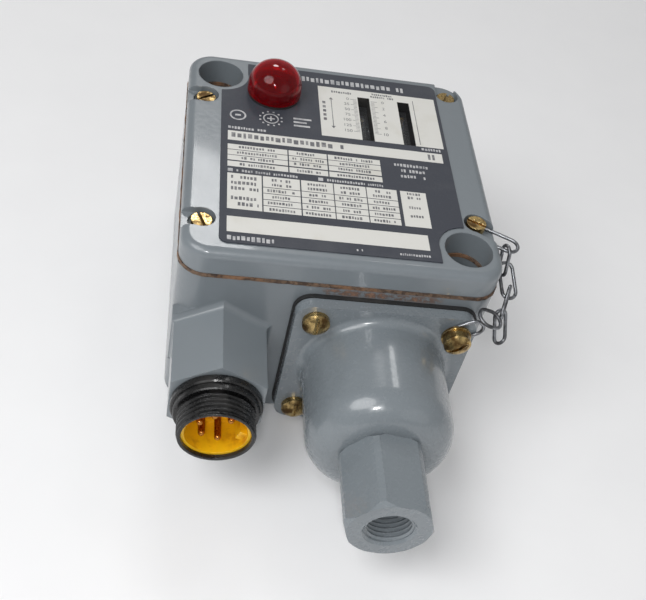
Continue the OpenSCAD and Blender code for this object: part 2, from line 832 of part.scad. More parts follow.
module contact_base() color([0.13, 0.12, 0.11])
  difference() {
    box(block_x, block_y, [block_z[0], block_z[1]]);
    block_cavity(block_z[0] + 4, block_z[1] + 1);
    plunger_hole();
    for (p = block_screw_xy) post(p, 1.5, block_z[0] - 1, block_z[1] + 1);
  }

module contact_cover() color([0.13, 0.12, 0.11])
  difference() {
    box(block_x, block_y, [block_z[1], block_z[2]]);
    block_cavity(block_z[1] - 1, block_z[2] - 4);
    plunger_hole();
    for (x = contact_x) box([x - 2.6, x + 2.6], [8.5, 9.7], [block_z[1] - 1, block_z[2] + 1]);
    for (p = block_screw_xy) post(p, 1.5, block_z[1] - 1, block_z[2] + 1);
  }

module contact_plunger() color([0.88, 0.87, 0.82])
  upward(plunger_x, plunger_z) {
    rod(rod_r, spring_seat_y + contact_gap, 0.5);
    rod(3.6, 0.3, 1.8);
    rod(1.2, 1.8, 7);
  }

module contact_bridge() color([0.85, 0.62, 0.35])
  difference() {
    union() {
      box([-29, -11], [3, 4], [21, 27]);
      for (x = contact_x) upward(x, plunger_z) rod(1.5, 3.5, 4.8);
    }
    upward(plunger_x, plunger_z) rod(1.2, 2, 5);
  }

module plunger_spring() color(bright_steel)
  upward(plunger_x, plunger_z) coil_spring(2.2, 0.35, 4.05, 15.95, 6);

module fixed_contacts() color([0.85, 0.62, 0.35])
  for (i = [0, 1]) {
    x = terminal_x[i];
    box([contact_x[i] - 2.5, contact_x[i] + 2.5], [8.6, 9.6], [20, block_z[2] + 0.5]);
    difference() {
      box([x - 4.5, x + 4.5], [3, 15], [block_z[2], block_z[2] + 1]);
      for (y = terminal_y) post([x, y], 1.2, block_z[2] - 1, block_z[2] + 2);
    }
    upward(contact_x[i], plunger_z) rod(1.5, 7.9, 9);
  }

module terminal_screws() color(yellow_brass)
  for (x = terminal_x, y = terminal_y)
    translate([x, y, block_z[2] + 1]) slotted_screw(2.4, 1.5, 1.2, 0.9, 15 * y);

module contact_block_screws() color(bright_steel)
  for (p = block_screw_xy)
    translate([p[0], p[1], block_z[2]]) slotted_screw(2.4, 1.6, 1.5, block_z[2] - floor_t - 1, 60);

module ground_screw() color([0.35, 0.50, 0.30])
  translate([ground_xy[0], ground_xy[1], 6]) slotted_screw(3, 1.6, 1.5, 3.9, 30);

// ---- Retaining chain ----

// Link that runs round a screw's shank and reaches out to its other end
module screw_link(screw, reach, side) {
  link(screw - screw_link_w / 2 * unit(reach), screw + reach, side, screw_link_w);
}

module chain_anchor_link() color(bright_steel) screw_link(chain_start, anchor_reach, [0.5, 1, 0]);

module chain_links() color(bright_steel) {
  for (l = loose_links) link(l[0], l[1], l[2], l[3]);
  screw_link(chain_end, tie_reach, [-0.5, 0, 1]);
}

module chain_ring() color(bright_steel)
  link(ring_link[0], ring_link[1], ring_link[2], ring_link[3]);

base_housing();
cover_gasket();
front_cover();
cover_screws();
label_plate();
window_pane();
lens_gasket();
pilot_lens();
lamp_socket();
lamp_nut();
lamp_bulb();
lamp_bulb_base();
lamp_terminals();
lamp_leads();
connector_shell();
connector_insert();
connector_pins();
connector_wires();
flange_gasket();
pressure_housing();
flange_screws();
chain_washers();
port_fitting();
bellows();
bellows_cap();
push_rod();
rod_guide();
mechanism_frame();
frame_screws();
pivot_pin();
pivot_spacer();
pivot_clip();
main_lever();
range_screw();
range_nut();
range_spring();
differential_screw();
differential_nut();
differential_spring();
guide_posts();
guide_plate();
guide_plate_screws();
contact_base();
contact_cover();
contact_plunger();
contact_bridge();
plunger_spring();
fixed_contacts();
terminal_screws();
contact_block_screws();
ground_screw();
chain_anchor_link();
chain_links();
chain_ring();
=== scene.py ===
"""Looks of a pressure switch: enamelled casting, printed label, pilot light, receptacle,
bellows module, chained cover and the mechanism inside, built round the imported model."""
import math
import random

import bmesh
import bpy
from mathutils import Matrix, Vector, noise


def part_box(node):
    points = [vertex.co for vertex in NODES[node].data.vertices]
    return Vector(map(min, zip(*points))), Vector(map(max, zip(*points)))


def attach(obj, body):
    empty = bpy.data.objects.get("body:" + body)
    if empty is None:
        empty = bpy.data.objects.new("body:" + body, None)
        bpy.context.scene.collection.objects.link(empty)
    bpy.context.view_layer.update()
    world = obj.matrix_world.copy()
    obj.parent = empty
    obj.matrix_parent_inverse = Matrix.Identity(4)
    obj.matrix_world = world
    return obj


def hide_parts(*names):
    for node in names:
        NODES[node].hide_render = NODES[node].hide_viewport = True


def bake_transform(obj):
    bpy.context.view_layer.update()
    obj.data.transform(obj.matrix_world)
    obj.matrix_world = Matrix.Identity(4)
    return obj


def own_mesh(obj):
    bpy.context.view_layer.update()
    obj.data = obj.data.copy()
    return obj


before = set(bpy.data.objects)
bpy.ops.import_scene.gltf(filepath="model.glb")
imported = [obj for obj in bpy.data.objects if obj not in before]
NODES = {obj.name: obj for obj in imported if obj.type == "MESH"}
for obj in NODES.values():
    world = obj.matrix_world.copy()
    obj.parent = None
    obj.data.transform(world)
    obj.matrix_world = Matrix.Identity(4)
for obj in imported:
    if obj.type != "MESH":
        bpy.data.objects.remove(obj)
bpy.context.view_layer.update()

bl_info = {
    "name": "Pressure switch",
    "version": (1, 0, 0),
    "blender": (4, 5, 0),
    "location": "3D View > Sidebar > Pressure switch",
    "description": "Builds the finishes and fine shapes of a pressure switch",
    "category": "Object",
}

MM = 0.001
SAME_PLACE = 1e-7  # vertices closer than this are merged
SIDE = Vector((0.0, -1.0, 0.0))  # the way that the port and the receptacle point

# Places on the switch in millimetres, measured from the centre of the mounting face
FACE_Z = 64.9
LAMP = (-19.5, 28.0)
PORT = (14.6, 26.0)
HUB = (-32.5, 28.5)
# The two adjusters, their windows' half width, and the windows' ends
RANGE_X, DIFFERENTIAL_X, ADJUSTER_Z = 10.5, 24.0, 36.0
SLOT = 2.0
WINDOW_Y = (9.3, 32.0)


def mm(x, y, z):
    """A point given in millimetres, in metres."""
    return Vector((x, y, z)) * MM


def tone(red, green, blue):
    """Linear colour from display values of 0 to 255."""
    def linear(value):
        share = value / 255
        return share / 12.92 if share <= 0.04045 else ((share + 0.055) / 1.055) ** 2.4
    return (linear(red), linear(green), linear(blue), 1.0)


def shaded(colour, share):
    """A colour made darker or lighter."""
    return tuple(share * part for part in colour[:3]) + (1.0,)


# ---- Shader building blocks ----

def add(tree, kind, inputs=None, **settings):
    """Adds a shader node, with its settings and with its sockets linked or set."""
    made = tree.nodes.new("ShaderNode" + kind)
    for key, value in settings.items():
        setattr(made, key, value)
    for key, value in (inputs or {}).items():
        if isinstance(value, bpy.types.NodeSocket):
            tree.links.new(value, made.inputs[key])
        else:
            made.inputs[key].default_value = value
    return made


def maths(tree, operation, first, second):
    """An operation on two values or sockets."""
    return add(tree, "Math", {0: first, 1: second}, operation=operation).outputs[0]


def mixed(tree, share, first, second):
    """Colour between first and second."""
    return add(tree, "Mix", {0: share, 6: first, 7: second}, data_type="RGBA").outputs[2]


def between(tree, value, low, high, new_low=0.0, new_high=1.0):
    """Smooth step of a value from low to high."""
    return add(tree, "MapRange", {0: value, 1: low, 2: high, 3: new_low, 4: new_high},
               interpolation_type="SMOOTHSTEP").outputs[0]


def speckle(tree, place, scale, detail, roughness=0.5):
    """Noise at a place."""
    return add(tree, "TexNoise", {"Vector": place, "Scale": scale, "Detail": detail,
                                  "Roughness": roughness}).outputs[0]


def effect(name, inputs, outputs, build):
    """Shader node group, built once. Its build function returns one socket for each output."""
    if name in bpy.data.node_groups:
        return bpy.data.node_groups[name]
    tree = bpy.data.node_groups.new(name, "ShaderNodeTree")
    for label, kind, default in inputs:
        socket = tree.interface.new_socket(label, in_out="INPUT", socket_type="NodeSocket" + kind)
        if default is not None:
            socket.default_value = default
    for label, kind in outputs:
        tree.interface.new_socket(label, in_out="OUTPUT", socket_type="NodeSocket" + kind)
    given = tree.nodes.new("NodeGroupInput")
    result = tree.nodes.new("NodeGroupOutput")
    for socket, target in zip(build(tree, given.outputs), result.inputs):
        tree.links.new(socket, target)
    return tree


def placed(tree, group, inputs):
    """Places a shader node group, and gives its outputs."""
    return add(tree, "Group", inputs, node_tree=group).outputs


def build_worn_edge(tree, given):
    """Rounded normal of every edge, and a broken mask along them."""
    rounded = add(tree, "Bevel", {"Radius": given["Width"]}, samples=4).outputs[0]
    flat = add(tree, "NewGeometry").outputs["Normal"]
    facing = add(tree, "VectorMath", {0: rounded, 1: flat}, operation="DOT_PRODUCT")
    turned = between(tree, facing.outputs["Value"], 0.995, 0.86)
    cells = speckle(tree, given["Vector"], given["Breakup"], 4.0, 0.62)
    torn = between(tree, cells, maths(tree, "SUBTRACT", 0.62, given["Amount"]), 0.72)
    return maths(tree, "MULTIPLY", turned, torn), rounded


def build_fine_grain(tree, given):
    """Fine relief, with its value for use in roughness."""
    grain = speckle(tree, given["Vector"], given["Scale"], 3.0, 0.55)
    wave = speckle(tree, given["Vector"], 60.0, 2.0)
    height = maths(tree, "ADD", maths(tree, "MULTIPLY", grain, given["Depth"]),
                   maths(tree, "MULTIPLY", wave, given["Wave"]))
    return height, grain


def build_soiling(tree, given):
    """Patches where dirt or handling has dulled the surface."""
    broad = speckle(tree, given["Vector"], given["Scale"], 5.0, 0.6)
    small = speckle(tree, given["Vector"], 900.0, 3.0)
    patch = between(tree, broad, given["Low"], given["High"])
    specks = between(tree, small, 0.60, 0.74)
    return patch, specks


def worn_edge():
    return effect("worn_edge",
                  [("Vector", "Vector", None), ("Width", "Float", 0.0003),
                   ("Breakup", "Float", 600.0), ("Amount", "Float", 0.1)],
                  [("Mask", "Float"), ("Normal", "Vector")], build_worn_edge)


def fine_grain():
    return effect("fine_grain",
                  [("Vector", "Vector", None), ("Scale", "Float", 900.0),
                   ("Depth", "Float", 1.0), ("Wave", "Float", 0.0)],
                  [("Height", "Float"), ("Value", "Float")], build_fine_grain)


def soiling():
    return effect("soiling",
                  [("Vector", "Vector", None), ("Scale", "Float", 60.0),
                   ("Low", "Float", 0.45), ("High", "Float", 0.7)],
                  [("Patch", "Float"), ("Specks", "Float")], build_soiling)


class Finish:
    """A material with a Principled shader, shared effects and room for more nodes."""

    def __init__(self, name, **constants):
        self.material = bpy.data.materials.new(name)
        self.material.use_nodes = True
        self.tree = self.material.node_tree
        self.shader = self.tree.nodes["Principled BSDF"]
        for label, value in constants.items():
            self.shader.inputs[label.replace("_", " ")].default_value = value
        self.place = add(self.tree, "TexCoord").outputs["Object"]

    def add(self, kind, inputs=None, **settings):
        return add(self.tree, kind, inputs, **settings)

    def link(self, socket, label):
        self.tree.links.new(socket, self.shader.inputs[label])

    def soiled(self, scale, low, high):
        return placed(self.tree, soiling(), {"Vector": self.place, "Scale": scale, "Low": low,
                                             "High": high})

    def relief(self, **inputs):
        self.link(self.add("Bump", inputs).outputs[0], "Normal")


def finish(name, colour, roughness, metallic=0.0, coat=0.0, grain=(1500.0, 0.00002, 0.0),
           edge=(0.00025, 0.0), edge_colour=None, soil=None, soil_at=(60.0, 0.45, 0.72),
           rough_spread=0.12, speck=0.25, **constants):
    """The usual surface: colour with soiled patches and specks, worn rounded edges, fine relief."""
    made = Finish(name, Metallic=metallic, Coat_Weight=coat, **constants)
    tree = made.tree
    patch, specks = made.soiled(*soil_at)
    height, value = placed(tree, fine_grain(), {"Vector": made.place, "Scale": grain[0],
                                                "Depth": 1.0, "Wave": grain[2]})
    mask, normal = placed(tree, worn_edge(), {"Vector": made.place, "Width": edge[0],
                                              "Amount": edge[1]})
    dirt = soil or shaded(colour, 0.72)
    base = mixed(tree, patch, colour, dirt)
    base = mixed(tree, maths(tree, "MULTIPLY", specks, speck), base, dirt)
    if edge_colour:
        base = mixed(tree, mask, base, edge_colour)
    made.link(base, "Base Color")
    rough = maths(tree, "ADD", between(tree, value, 0.3, 0.7, roughness - rough_spread / 2,
                                       roughness + rough_spread / 2),
                  maths(tree, "MULTIPLY", patch, rough_spread))
    made.link(rough, "Roughness")
    made.relief(Height=height, Distance=grain[1], Strength=1.0, Normal=normal)
    made.base, made.rough = base, rough
    return made


# ---- Mesh building blocks ----

def new_object(name, mesh, material):
    """Object of a mesh, with one material."""
    made = bpy.data.objects.new(name, mesh)
    bpy.context.scene.collection.objects.link(made)
    if material:
        mesh.materials.clear()
        mesh.materials.append(material)
    return made


def finished(name, bm, material, smooth):
    """Turns a bmesh into a piece: doubles merged, faces outward, soft shading below an angle."""
    bmesh.ops.remove_doubles(bm, verts=bm.verts, dist=SAME_PLACE)
    bmesh.ops.recalc_face_normals(bm, faces=bm.faces)
    mesh = bpy.data.meshes.new(name)
    for face in bm.faces:
        face.smooth = smooth > 0
    for edge in bm.edges:
        if len(edge.link_faces) == 2:
            edge.smooth = edge.calc_face_angle(0.0) < math.radians(smooth)
    bm.to_mesh(mesh)
    bm.free()
    return new_object(name, mesh, material)


def settle(piece, body, slot, *replaced):
    """Says which body a piece rides on and the nodes that it stands for; its slot is not used."""
    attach(piece, body)
    if replaced:
        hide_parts(*replaced)


def paint(name, *nodes):
    """Gives CAD nodes a finish."""
    material = FINISHES[name].material
    for node in nodes:
        slots = NODES[node].material_slots
        for slot in slots:
            slot.material = material
        if not slots:
            NODES[node].data.materials.append(material)


def axis_frame(centre, along):
    """Matrix that carries the Z axis onto a direction through a point."""
    turn = Vector(along).to_track_quat("Z", "Y").to_matrix().to_4x4()
    return Matrix.Translation(centre) @ turn


def lathe(bm, profile, steps=96, matrix=None, closed=False):
    """Spins a profile of (radius, height) pairs in millimetres round the Z axis."""
    verts = [bm.verts.new(mm(r, 0, z)) for r, z in profile]
    pairs = list(zip(verts, verts[1:])) + ([(verts[-1], verts[0])] if closed else [])
    edges = [bm.edges.new(pair) for pair in pairs]
    bmesh.ops.spin(bm, geom=verts + edges, cent=(0, 0, 0), axis=(0, 0, 1),
                   angle=2 * math.pi, steps=steps, use_merge=True)
    bmesh.ops.remove_doubles(bm, verts=bm.verts, dist=SAME_PLACE)
    if matrix is not None:
        bmesh.ops.transform(bm, matrix=matrix, verts=bm.verts)


def threaded_sleeve(bm, low, high, crest, root, wall, pitch, steps=48):
    """Helical thread from low to high on the Z axis, as a closed sleeve, in millimetres.
    The crest may be outside the root, for a male thread, or inside it."""
    turns = math.ceil((high - low) / pitch) + 3
    start = low - 2 * pitch
    flank = ((0.0, root), (0.10, root), (0.42, crest), (0.58, crest), (0.90, root))
    rows = [(radius, start + (turn + part) * pitch)
            for turn in range(turns) for part, radius in flank]
    rows.append((root, start + turns * pitch))
    back = [(wall, start + turn * pitch) for turn in range(turns + 1)]
    geom = []
    for line in (rows, back):
        verts = [bm.verts.new(mm(r, 0, z)) for r, z in line]
        geom += verts + [bm.edges.new(pair) for pair in zip(verts, verts[1:])]
    bmesh.ops.spin(bm, geom=geom, cent=(0, 0, 0), axis=(0, 0, 1), angle=2 * math.pi,
                   steps=steps, dvec=mm(0, 0, pitch / steps))
    bmesh.ops.remove_doubles(bm, verts=bm.verts, dist=1e-6)
    for height, way in ((low, -1), (high, 1)):
        geom = bm.verts[:] + bm.edges[:] + bm.faces[:]
        bmesh.ops.bisect_plane(bm, geom=geom, dist=SAME_PLACE, plane_co=mm(0, 0, height),
                               plane_no=(0, 0, way), clear_outer=True)
        rim = [edge for edge in bm.edges if edge.is_boundary
               and all(abs(v.co.z - height * MM) < 1e-6 for v in edge.verts)]
        bmesh.ops.triangle_fill(bm, edges=rim, use_beauty=True, normal=(0, 0, way))


def mesh_of(curve):
    """Mesh of a curve or of text, which is then removed."""
    carrier = bpy.data.objects.new(curve.name, curve)
    bpy.context.scene.collection.objects.link(carrier)
    bpy.context.view_layer.update()
    evaluated = carrier.evaluated_get(bpy.context.evaluated_depsgraph_get())
    mesh = bpy.data.meshes.new_from_object(evaluated)
    bpy.data.objects.remove(carrier)
    bpy.data.curves.remove(curve)
    return mesh


def tube(name, points, radius, material, closed=False, sides=4):
    """Round wire through points in millimetres, as a mesh."""
    curve = bpy.data.curves.new(name, "CURVE")
    curve.dimensions = "3D"
    curve.bevel_depth = radius * MM
    curve.bevel_resolution = sides
    curve.use_fill_caps = not closed
    spline = curve.splines.new("POLY")
    spline.points.add(len(points) - 1)
    for target, point in zip(spline.points, points):
        target.co = (*mm(*point), 1.0)
    spline.use_cyclic_u = closed
    mesh = mesh_of(curve)
    mesh.name = name
    for face in mesh.polygons:
        face.use_smooth = True
    return new_object(name, mesh, material)


def smoothed(points, steps):
    """Points of a smooth curve through the given points."""
    rows = [Vector(p) for p in points]
    result = []
    for i in range(len(rows) - 1):
        a, b, c, d = rows[max(i - 1, 0)], rows[i], rows[i + 1], rows[min(i + 2, len(rows) - 1)]
        for step in range(steps):
            t = step / steps
            result.append(0.5 * (2 * b + (c - a) * t + (2 * a - 5 * b + 4 * c - d) * t * t
                                 + (3 * b - a - 3 * c + d) * t ** 3))
    return [tuple(p) for p in result + [rows[-1]]]


def joined(name, pieces):
    """Several pieces made into one, the first one's name and materials kept."""
    bm = bmesh.new()
    for piece in pieces:
        bm.from_mesh(piece.data)
    mesh = bpy.data.meshes.new(name)
    bm.to_mesh(mesh)
    bm.free()
    material = pieces[0].data.materials[0]
    for piece in pieces:
        bpy.data.objects.remove(piece)
    return new_object(name, mesh, material)


# ---- Finishes ----

FINISHES = {}


def enamel(name, colour, rough=0.34, peel=0.00005, bare=tone(150, 154, 156),
           edge=(0.0005, 0.06)):
    """Grey baked enamel with a slight orange peel, chipped to dull metal at the edges."""
    return finish(name, colour, rough, coat=0.45, Coat_Roughness=0.07, Specular_IOR_Level=0.5,
                  grain=(700.0, peel, 1.5), edge=edge,
                  edge_colour=bare, soil=shaded(colour, 0.93),
                  soil_at=(45.0, 0.45, 0.75), rough_spread=0.08, speck=0.12)


def ink(name, colour, roughness, soil, soil_at, speck, depth=0.000004, **constants):
    """Thin print, a little rubbed."""
    return finish(name, colour, roughness, grain=(3000.0, depth, 0.0), edge=(0.00003, 0.0),
                  soil=soil, soil_at=soil_at, speck=speck, **constants)


def make_finishes():
    style = bpy.context.scene.switch_finishes
    grey = tuple(style.enamel_grey) + (1.0,)
    FINISHES.update({
        "enamel": enamel("enclosure_enamel", grey),
        "base_enamel": enamel("base_enamel", shaded(grey, 0.93)),
        "module": enamel("module_enamel", shaded(grey, 1.04), 0.25, 0.00003,
                         tone(126, 132, 136), (0.00012, 0.0)),
        "label": finish("label_charcoal", tone(62, 65, 73), 0.56, Specular_IOR_Level=0.32,
                        grain=(2600.0, 0.000008, 0.2), edge=(0.00012, 0.02),
                        edge_colour=tone(150, 152, 156), soil=tone(76, 78, 84)),
        "print": ink("label_white_print", tone(214, 213, 208), 0.55, tone(206, 204, 196),
                     (90.0, 0.5, 0.78), 0.2, Specular_IOR_Level=0.3),
        "faint": ink("label_thin_print", tone(190, 190, 191), 0.55, tone(150, 151, 154),
                     (420.0, 0.42, 0.7), 0.3, Specular_IOR_Level=0.3),
        "ink": ink("label_dark_print", tone(92, 92, 96), 0.5, tone(142, 142, 142),
                   (500.0, 0.42, 0.68), 0.25, 0.000003),
        "brass": finish("worn_brass", tone(186, 160, 108), 0.26, metallic=1.0,
                        grain=(1800.0, 0.00003, 0.3), edge=(0.0002, 0.2),
                        edge_colour=tone(240, 222, 178), soil=tone(92, 70, 42),
                        soil_at=(260.0, 0.44, 0.64), rough_spread=0.22, speck=0.8),
        "tip": finish("bright_brass", tone(214, 186, 128), 0.4, metallic=0.7,
                      grain=(1800.0, 0.00002, 0.2), edge=(0.0002, 0.1),
                      edge_colour=tone(240, 222, 178), soil=tone(150, 122, 76)),
        "contact": finish("contact_alloy", tone(188, 128, 62), 0.26, metallic=1.0,
                          grain=(2200.0, 0.00001, 0.1), edge=(0.00015, 0.1),
                          edge_colour=tone(240, 200, 130), soil=tone(120, 74, 32),
                          soil_at=(300.0, 0.48, 0.7), rough_spread=0.18),
        "steel": finish("bright_steel", tone(196, 197, 199), 0.28, metallic=1.0,
                        grain=(1600.0, 0.000015, 0.2), edge=(0.0002, 0.1),
                        edge_colour=tone(228, 229, 230), soil=tone(128, 126, 122),
                        soil_at=(200.0, 0.5, 0.75), rough_spread=0.2, speck=0.5),
        "chain": finish("dull_wire", tone(150, 152, 156), 0.34, metallic=1.0,
                        grain=(1600.0, 0.00003, 0.4), edge=(0.0001, 0.0),
                        soil=tone(84, 84, 86), soil_at=(220.0, 0.42, 0.66),
                        rough_spread=0.25, speck=0.6),
        "green_steel": finish("green_screw", tone(78, 132, 88), 0.35, metallic=0.7,
                              edge=(0.0002, 0.1), edge_colour=tone(180, 190, 180),
                              soil=tone(48, 86, 56)),
        "rubber": finish("black_rubber", tone(30, 30, 31), 0.62, grain=(1400.0, 0.00004, 0.3),
                         edge=(0.0002, 0.08), edge_colour=tone(62, 62, 64),
                         soil=tone(52, 50, 48), rough_spread=0.2),
        "black_plastic": finish("black_shell", tone(11, 11, 12), 0.3, coat=0.1,
                                grain=(1700.0, 0.00003, 0.4), edge=(0.00025, 0.2),
                                edge_colour=tone(62, 62, 66), soil=tone(30, 29, 28),
                                soil_at=(160.0, 0.5, 0.72), rough_spread=0.25, speck=0.6),
        "yellow": finish("yellow_insert", tone(240, 186, 18), 0.36, coat=0.2,
                         Subsurface_Weight=0.12, Subsurface_Scale=0.002,
                         Subsurface_Radius=(1.0, 0.6, 0.1), grain=(1500.0, 0.00002, 0.2),
                         edge=(0.0003, 0.0), soil=tone(196, 132, 8),
                         soil_at=(150.0, 0.5, 0.75)),
        "socket": finish("lamp_socket_plastic", tone(34, 34, 36), 0.4,
                         grain=(1500.0, 0.00002, 0.2), edge=(0.0002, 0.1),
                         edge_colour=tone(90, 90, 92)),
        "phenolic": finish("phenolic_block", tone(48, 36, 32), 0.44,
                           grain=(1100.0, 0.00003, 0.3), edge=(0.0003, 0.12),
                           edge_colour=tone(96, 78, 68), soil=tone(70, 56, 48)),
        "plunger": finish("plunger_plastic", tone(214, 206, 184), 0.42,
                          edge=(0.0002, 0.0), soil=tone(176, 164, 140)),
        "wire": finish("wire_sleeve", tone(196, 192, 182), 0.48, grain=(1500.0, 0.00003, 0.3),
                       edge=(0.0001, 0.0), soil=tone(150, 142, 128)),
    })
    stain_base(FINISHES["base_enamel"])
    make_cork()
    make_glasses()


def stain_base(made):
    """Rust-brown stain above the module's flange, and the hub's fresher paint."""
    tree = made.tree
    parts = made.add("SeparateXYZ", {0: made.place}).outputs
    ragged = speckle(tree, made.place, 520.0, 5.0, 0.7)
    hub = between(tree, parts["Y"], -0.0482, -0.0495)
    fresh = mixed(tree, hub, made.base, tone(124, 131, 136))
    mask = between(tree, parts["Y"], -0.0469, -0.0473)
    for axis, low, high, soft in (("X", -0.005, 0.029, 0.003), ("Z", 0.0522, 0.0546, 0.0008)):
        mask = maths(tree, "MULTIPLY", mask, between(tree, parts[axis], low - soft, low + soft))
        mask = maths(tree, "MULTIPLY", mask, between(tree, parts[axis], high + soft, high - soft))
    mask = maths(tree, "MULTIPLY", mask, between(tree, ragged, 0.40, 0.56))
    rust = mixed(tree, between(tree, ragged, 0.48, 0.68), tone(88, 66, 54), tone(136, 104, 84))
    made.link(mixed(tree, mask, fresh, rust), "Base Color")
    made.link(maths(tree, "ADD", made.rough, maths(tree, "MULTIPLY", mask, 0.4)), "Roughness")


def make_cork():
    """Pressed cork: pale and dark granules, rust stains, crumbly relief."""
    made = Finish("pressed_cork", Roughness=0.85)
    tree = made.tree
    cells = made.add("TexVoronoi", {"Vector": made.place, "Scale": 900.0}, feature="F1")
    shade = made.add("SeparateColor", {0: cells.outputs["Color"]}).outputs[0]
    crumbs = speckle(tree, made.place, 260.0, 6.0, 0.7)
    base = mixed(tree, shade, tone(64, 50, 42), tone(114, 92, 74))
    base = mixed(tree, between(tree, crumbs, 0.5, 0.66), base, tone(44, 32, 28))
    patch, specks = made.soiled(120.0, 0.5, 0.62)
    base = mixed(tree, maths(tree, "MULTIPLY", patch, 0.7), base, tone(134, 98, 70))
    made.link(mixed(tree, specks, base, tone(38, 28, 24)), "Base Color")
    made.link(between(tree, crumbs, 0.3, 0.7, 0.7, 0.98), "Roughness")
    relief = maths(tree, "ADD", maths(tree, "MULTIPLY", cells.outputs["Distance"], 0.6), crumbs)
    made.relief(Height=relief, Distance=0.0003, Strength=0.9)
    FINISHES["cork"] = made


def glass(name, colour, rough, ior=1.49, thick=None, clear=1.0):
    """Clear moulded material, slightly uneven."""
    made = Finish(name, Transmission_Weight=clear, IOR=ior)
    tree = made.tree
    height, value = placed(tree, fine_grain(), {"Vector": made.place, "Scale": 900.0,
                                                "Depth": 0.5, "Wave": 1.2})
    patch, specks = made.soiled(150.0, 0.5, 0.75)
    made.link(mixed(tree, maths(tree, "MULTIPLY", patch, 0.5), colour, thick or colour),
              "Base Color")
    made.link(maths(tree, "ADD", maths(tree, "MULTIPLY", specks, 0.08),
                    between(tree, value, 0.3, 0.7, rough, rough + 0.05)), "Roughness")
    made.relief(Height=height, Distance=0.00003, Strength=0.8)
    return made


def make_glasses():
    lens = tuple(bpy.context.scene.switch_finishes.lens_red) + (1.0,)
    FINISHES["lens"] = glass("red_lens", lens, 0.05, 1.36, shaded(lens, 0.7), 0.86)
    FINISHES["bulb"] = glass("bulb_glass", (0.95, 0.95, 0.93, 1.0), 0.02)
    FINISHES["pane"] = glass("window_pane", (0.86, 0.88, 0.9, 1.0), 0.04, clear=0.96)


# ---- Enclosure ----

def make_enclosure():
    paint("base_enamel", "base_housing")
    paint("enamel", "front_cover")
    paint("brass", "cover_screws")
    paint("green_steel", "ground_screw")
    make_cork_gasket()


GASKET_CORNER = 0.008
GASKET_WAVE, GASKET_BULGE = 0.00022, 0.00002


def make_cork_gasket():
    """The gasket's plate with its rim squeezed out unevenly between base and cover."""
    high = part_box("cover_gasket")[1]
    bm = bmesh.new()
    bm.from_mesh(NODES["cover_gasket"].data)
    bmesh.ops.remove_doubles(bm, verts=bm.verts, dist=1e-6)
    bmesh.ops.dissolve_limit(bm, angle_limit=math.radians(1), verts=bm.verts, edges=bm.edges)

    def on_rim(vert):
        x, y = abs(vert.co.x), abs(vert.co.y)
        corner = Vector((max(x - high.x + GASKET_CORNER, 0.0),
                         max(y - high.y + GASKET_CORNER, 0.0)))
        return x > high.x - 1e-5 or y > high.y - 1e-5 or corner.length > 0.0079
    long = [edge for edge in bm.edges if all(on_rim(v) for v in edge.verts)
            and edge.calc_length() > 0.004]
    bmesh.ops.subdivide_edges(bm, edges=long, cuts=90, use_grid_fill=True)
    for vert in bm.verts:
        if on_rim(vert):
            wave = noise.noise(vert.co * 420) + 0.6 * noise.noise(vert.co * 1300)
            out = Vector((vert.co.x, vert.co.y, 0.0)).normalized()
            vert.co += out * (GASKET_WAVE * wave + GASKET_BULGE)
    bmesh.ops.triangulate(bm, faces=bm.faces)
    settle(finished("cork_gasket", bm, FINISHES["cork"].material, 30), "enclosure", "cork",
           "cover_gasket")


# ---- Label ----

def rectangle(bm, x, y, low, high):
    """Box between two corners and two heights, in millimetres."""
    made = bmesh.ops.create_cube(bm, size=1.0)["verts"]
    size = ((x[1] - x[0]) * MM, (y[1] - y[0]) * MM, (high - low) * MM)
    bmesh.ops.scale(bm, vec=size, verts=made)
    bmesh.ops.translate(bm, vec=mm((x[0] + x[1]) / 2, (y[0] + y[1]) / 2, (low + high) / 2),
                        verts=made)


def printed(bm, x, y):
    """Light print between two corners."""
    rectangle(bm, x, y, PRINT_LOW, PRINT_TOP)


def settle_print(name, bm, look):
    """Turns print on the label into a piece."""
    settle(finished(name, bm, FINISHES[look].material, 0), "cover", "label")


PRINT_LOW, PRINT_TOP, INK_TOP = FACE_Z - 0.05, FACE_Z + 0.035, FACE_Z + 0.06
SHADE_LINER = 0.12  # thickness of the black sheet of painted shade that lines a window slot
SCALE_TOP, SCALE_STEP = 30.4, 0.7125
NUMBER_SIZE, NUMBER_RELIEF, NUMBER_DROP = 1.9, 0.02, 0.55
PANELS = [
    # Range panel round its two windows: left, between, right, and above them
    ((-4.6, RANGE_X - SLOT), WINDOW_Y), ((RANGE_X + SLOT, DIFFERENTIAL_X - SLOT), WINDOW_Y),
    ((DIFFERENTIAL_X + SLOT, 35.1), WINDOW_Y), ((-4.6, 35.1), (WINDOW_Y[1], 35.8)),
    # Number bar and blank bar
    ((-34.1, 34.0), (1.9, 6.5)),
    ((-34.1, 24.4), (-39.0, -32.6)),
]


def table_cells(columns, rows):
    """Every cell where a column meets a row."""
    return [(column, row) for column in columns for row in rows]


RATING_COLUMNS = [(-23.6, -12.6), (-12.2, -2.6), (-2.3, 7.4), (7.7, 17.0)]
TABLES = table_cells([(-34.1, -15.9), (-15.5, -3.7), (-3.3, 13.1)],
                     [(-2.5, -0.1), (-5.1, -2.8), (-7.6, -5.4), (-10.6, -8.2)])
TABLES += [((-34.1, -24.0), (-29.4, -13.7))]
TABLES += table_cells(RATING_COLUMNS, [(-18.5, -13.7), (-21.2, -18.8), (-23.9, -21.5),
                                       (-26.6, -24.2), (-29.4, -26.9)])
TABLES += [((18.1, 26.1), (-29.4, -13.7))]
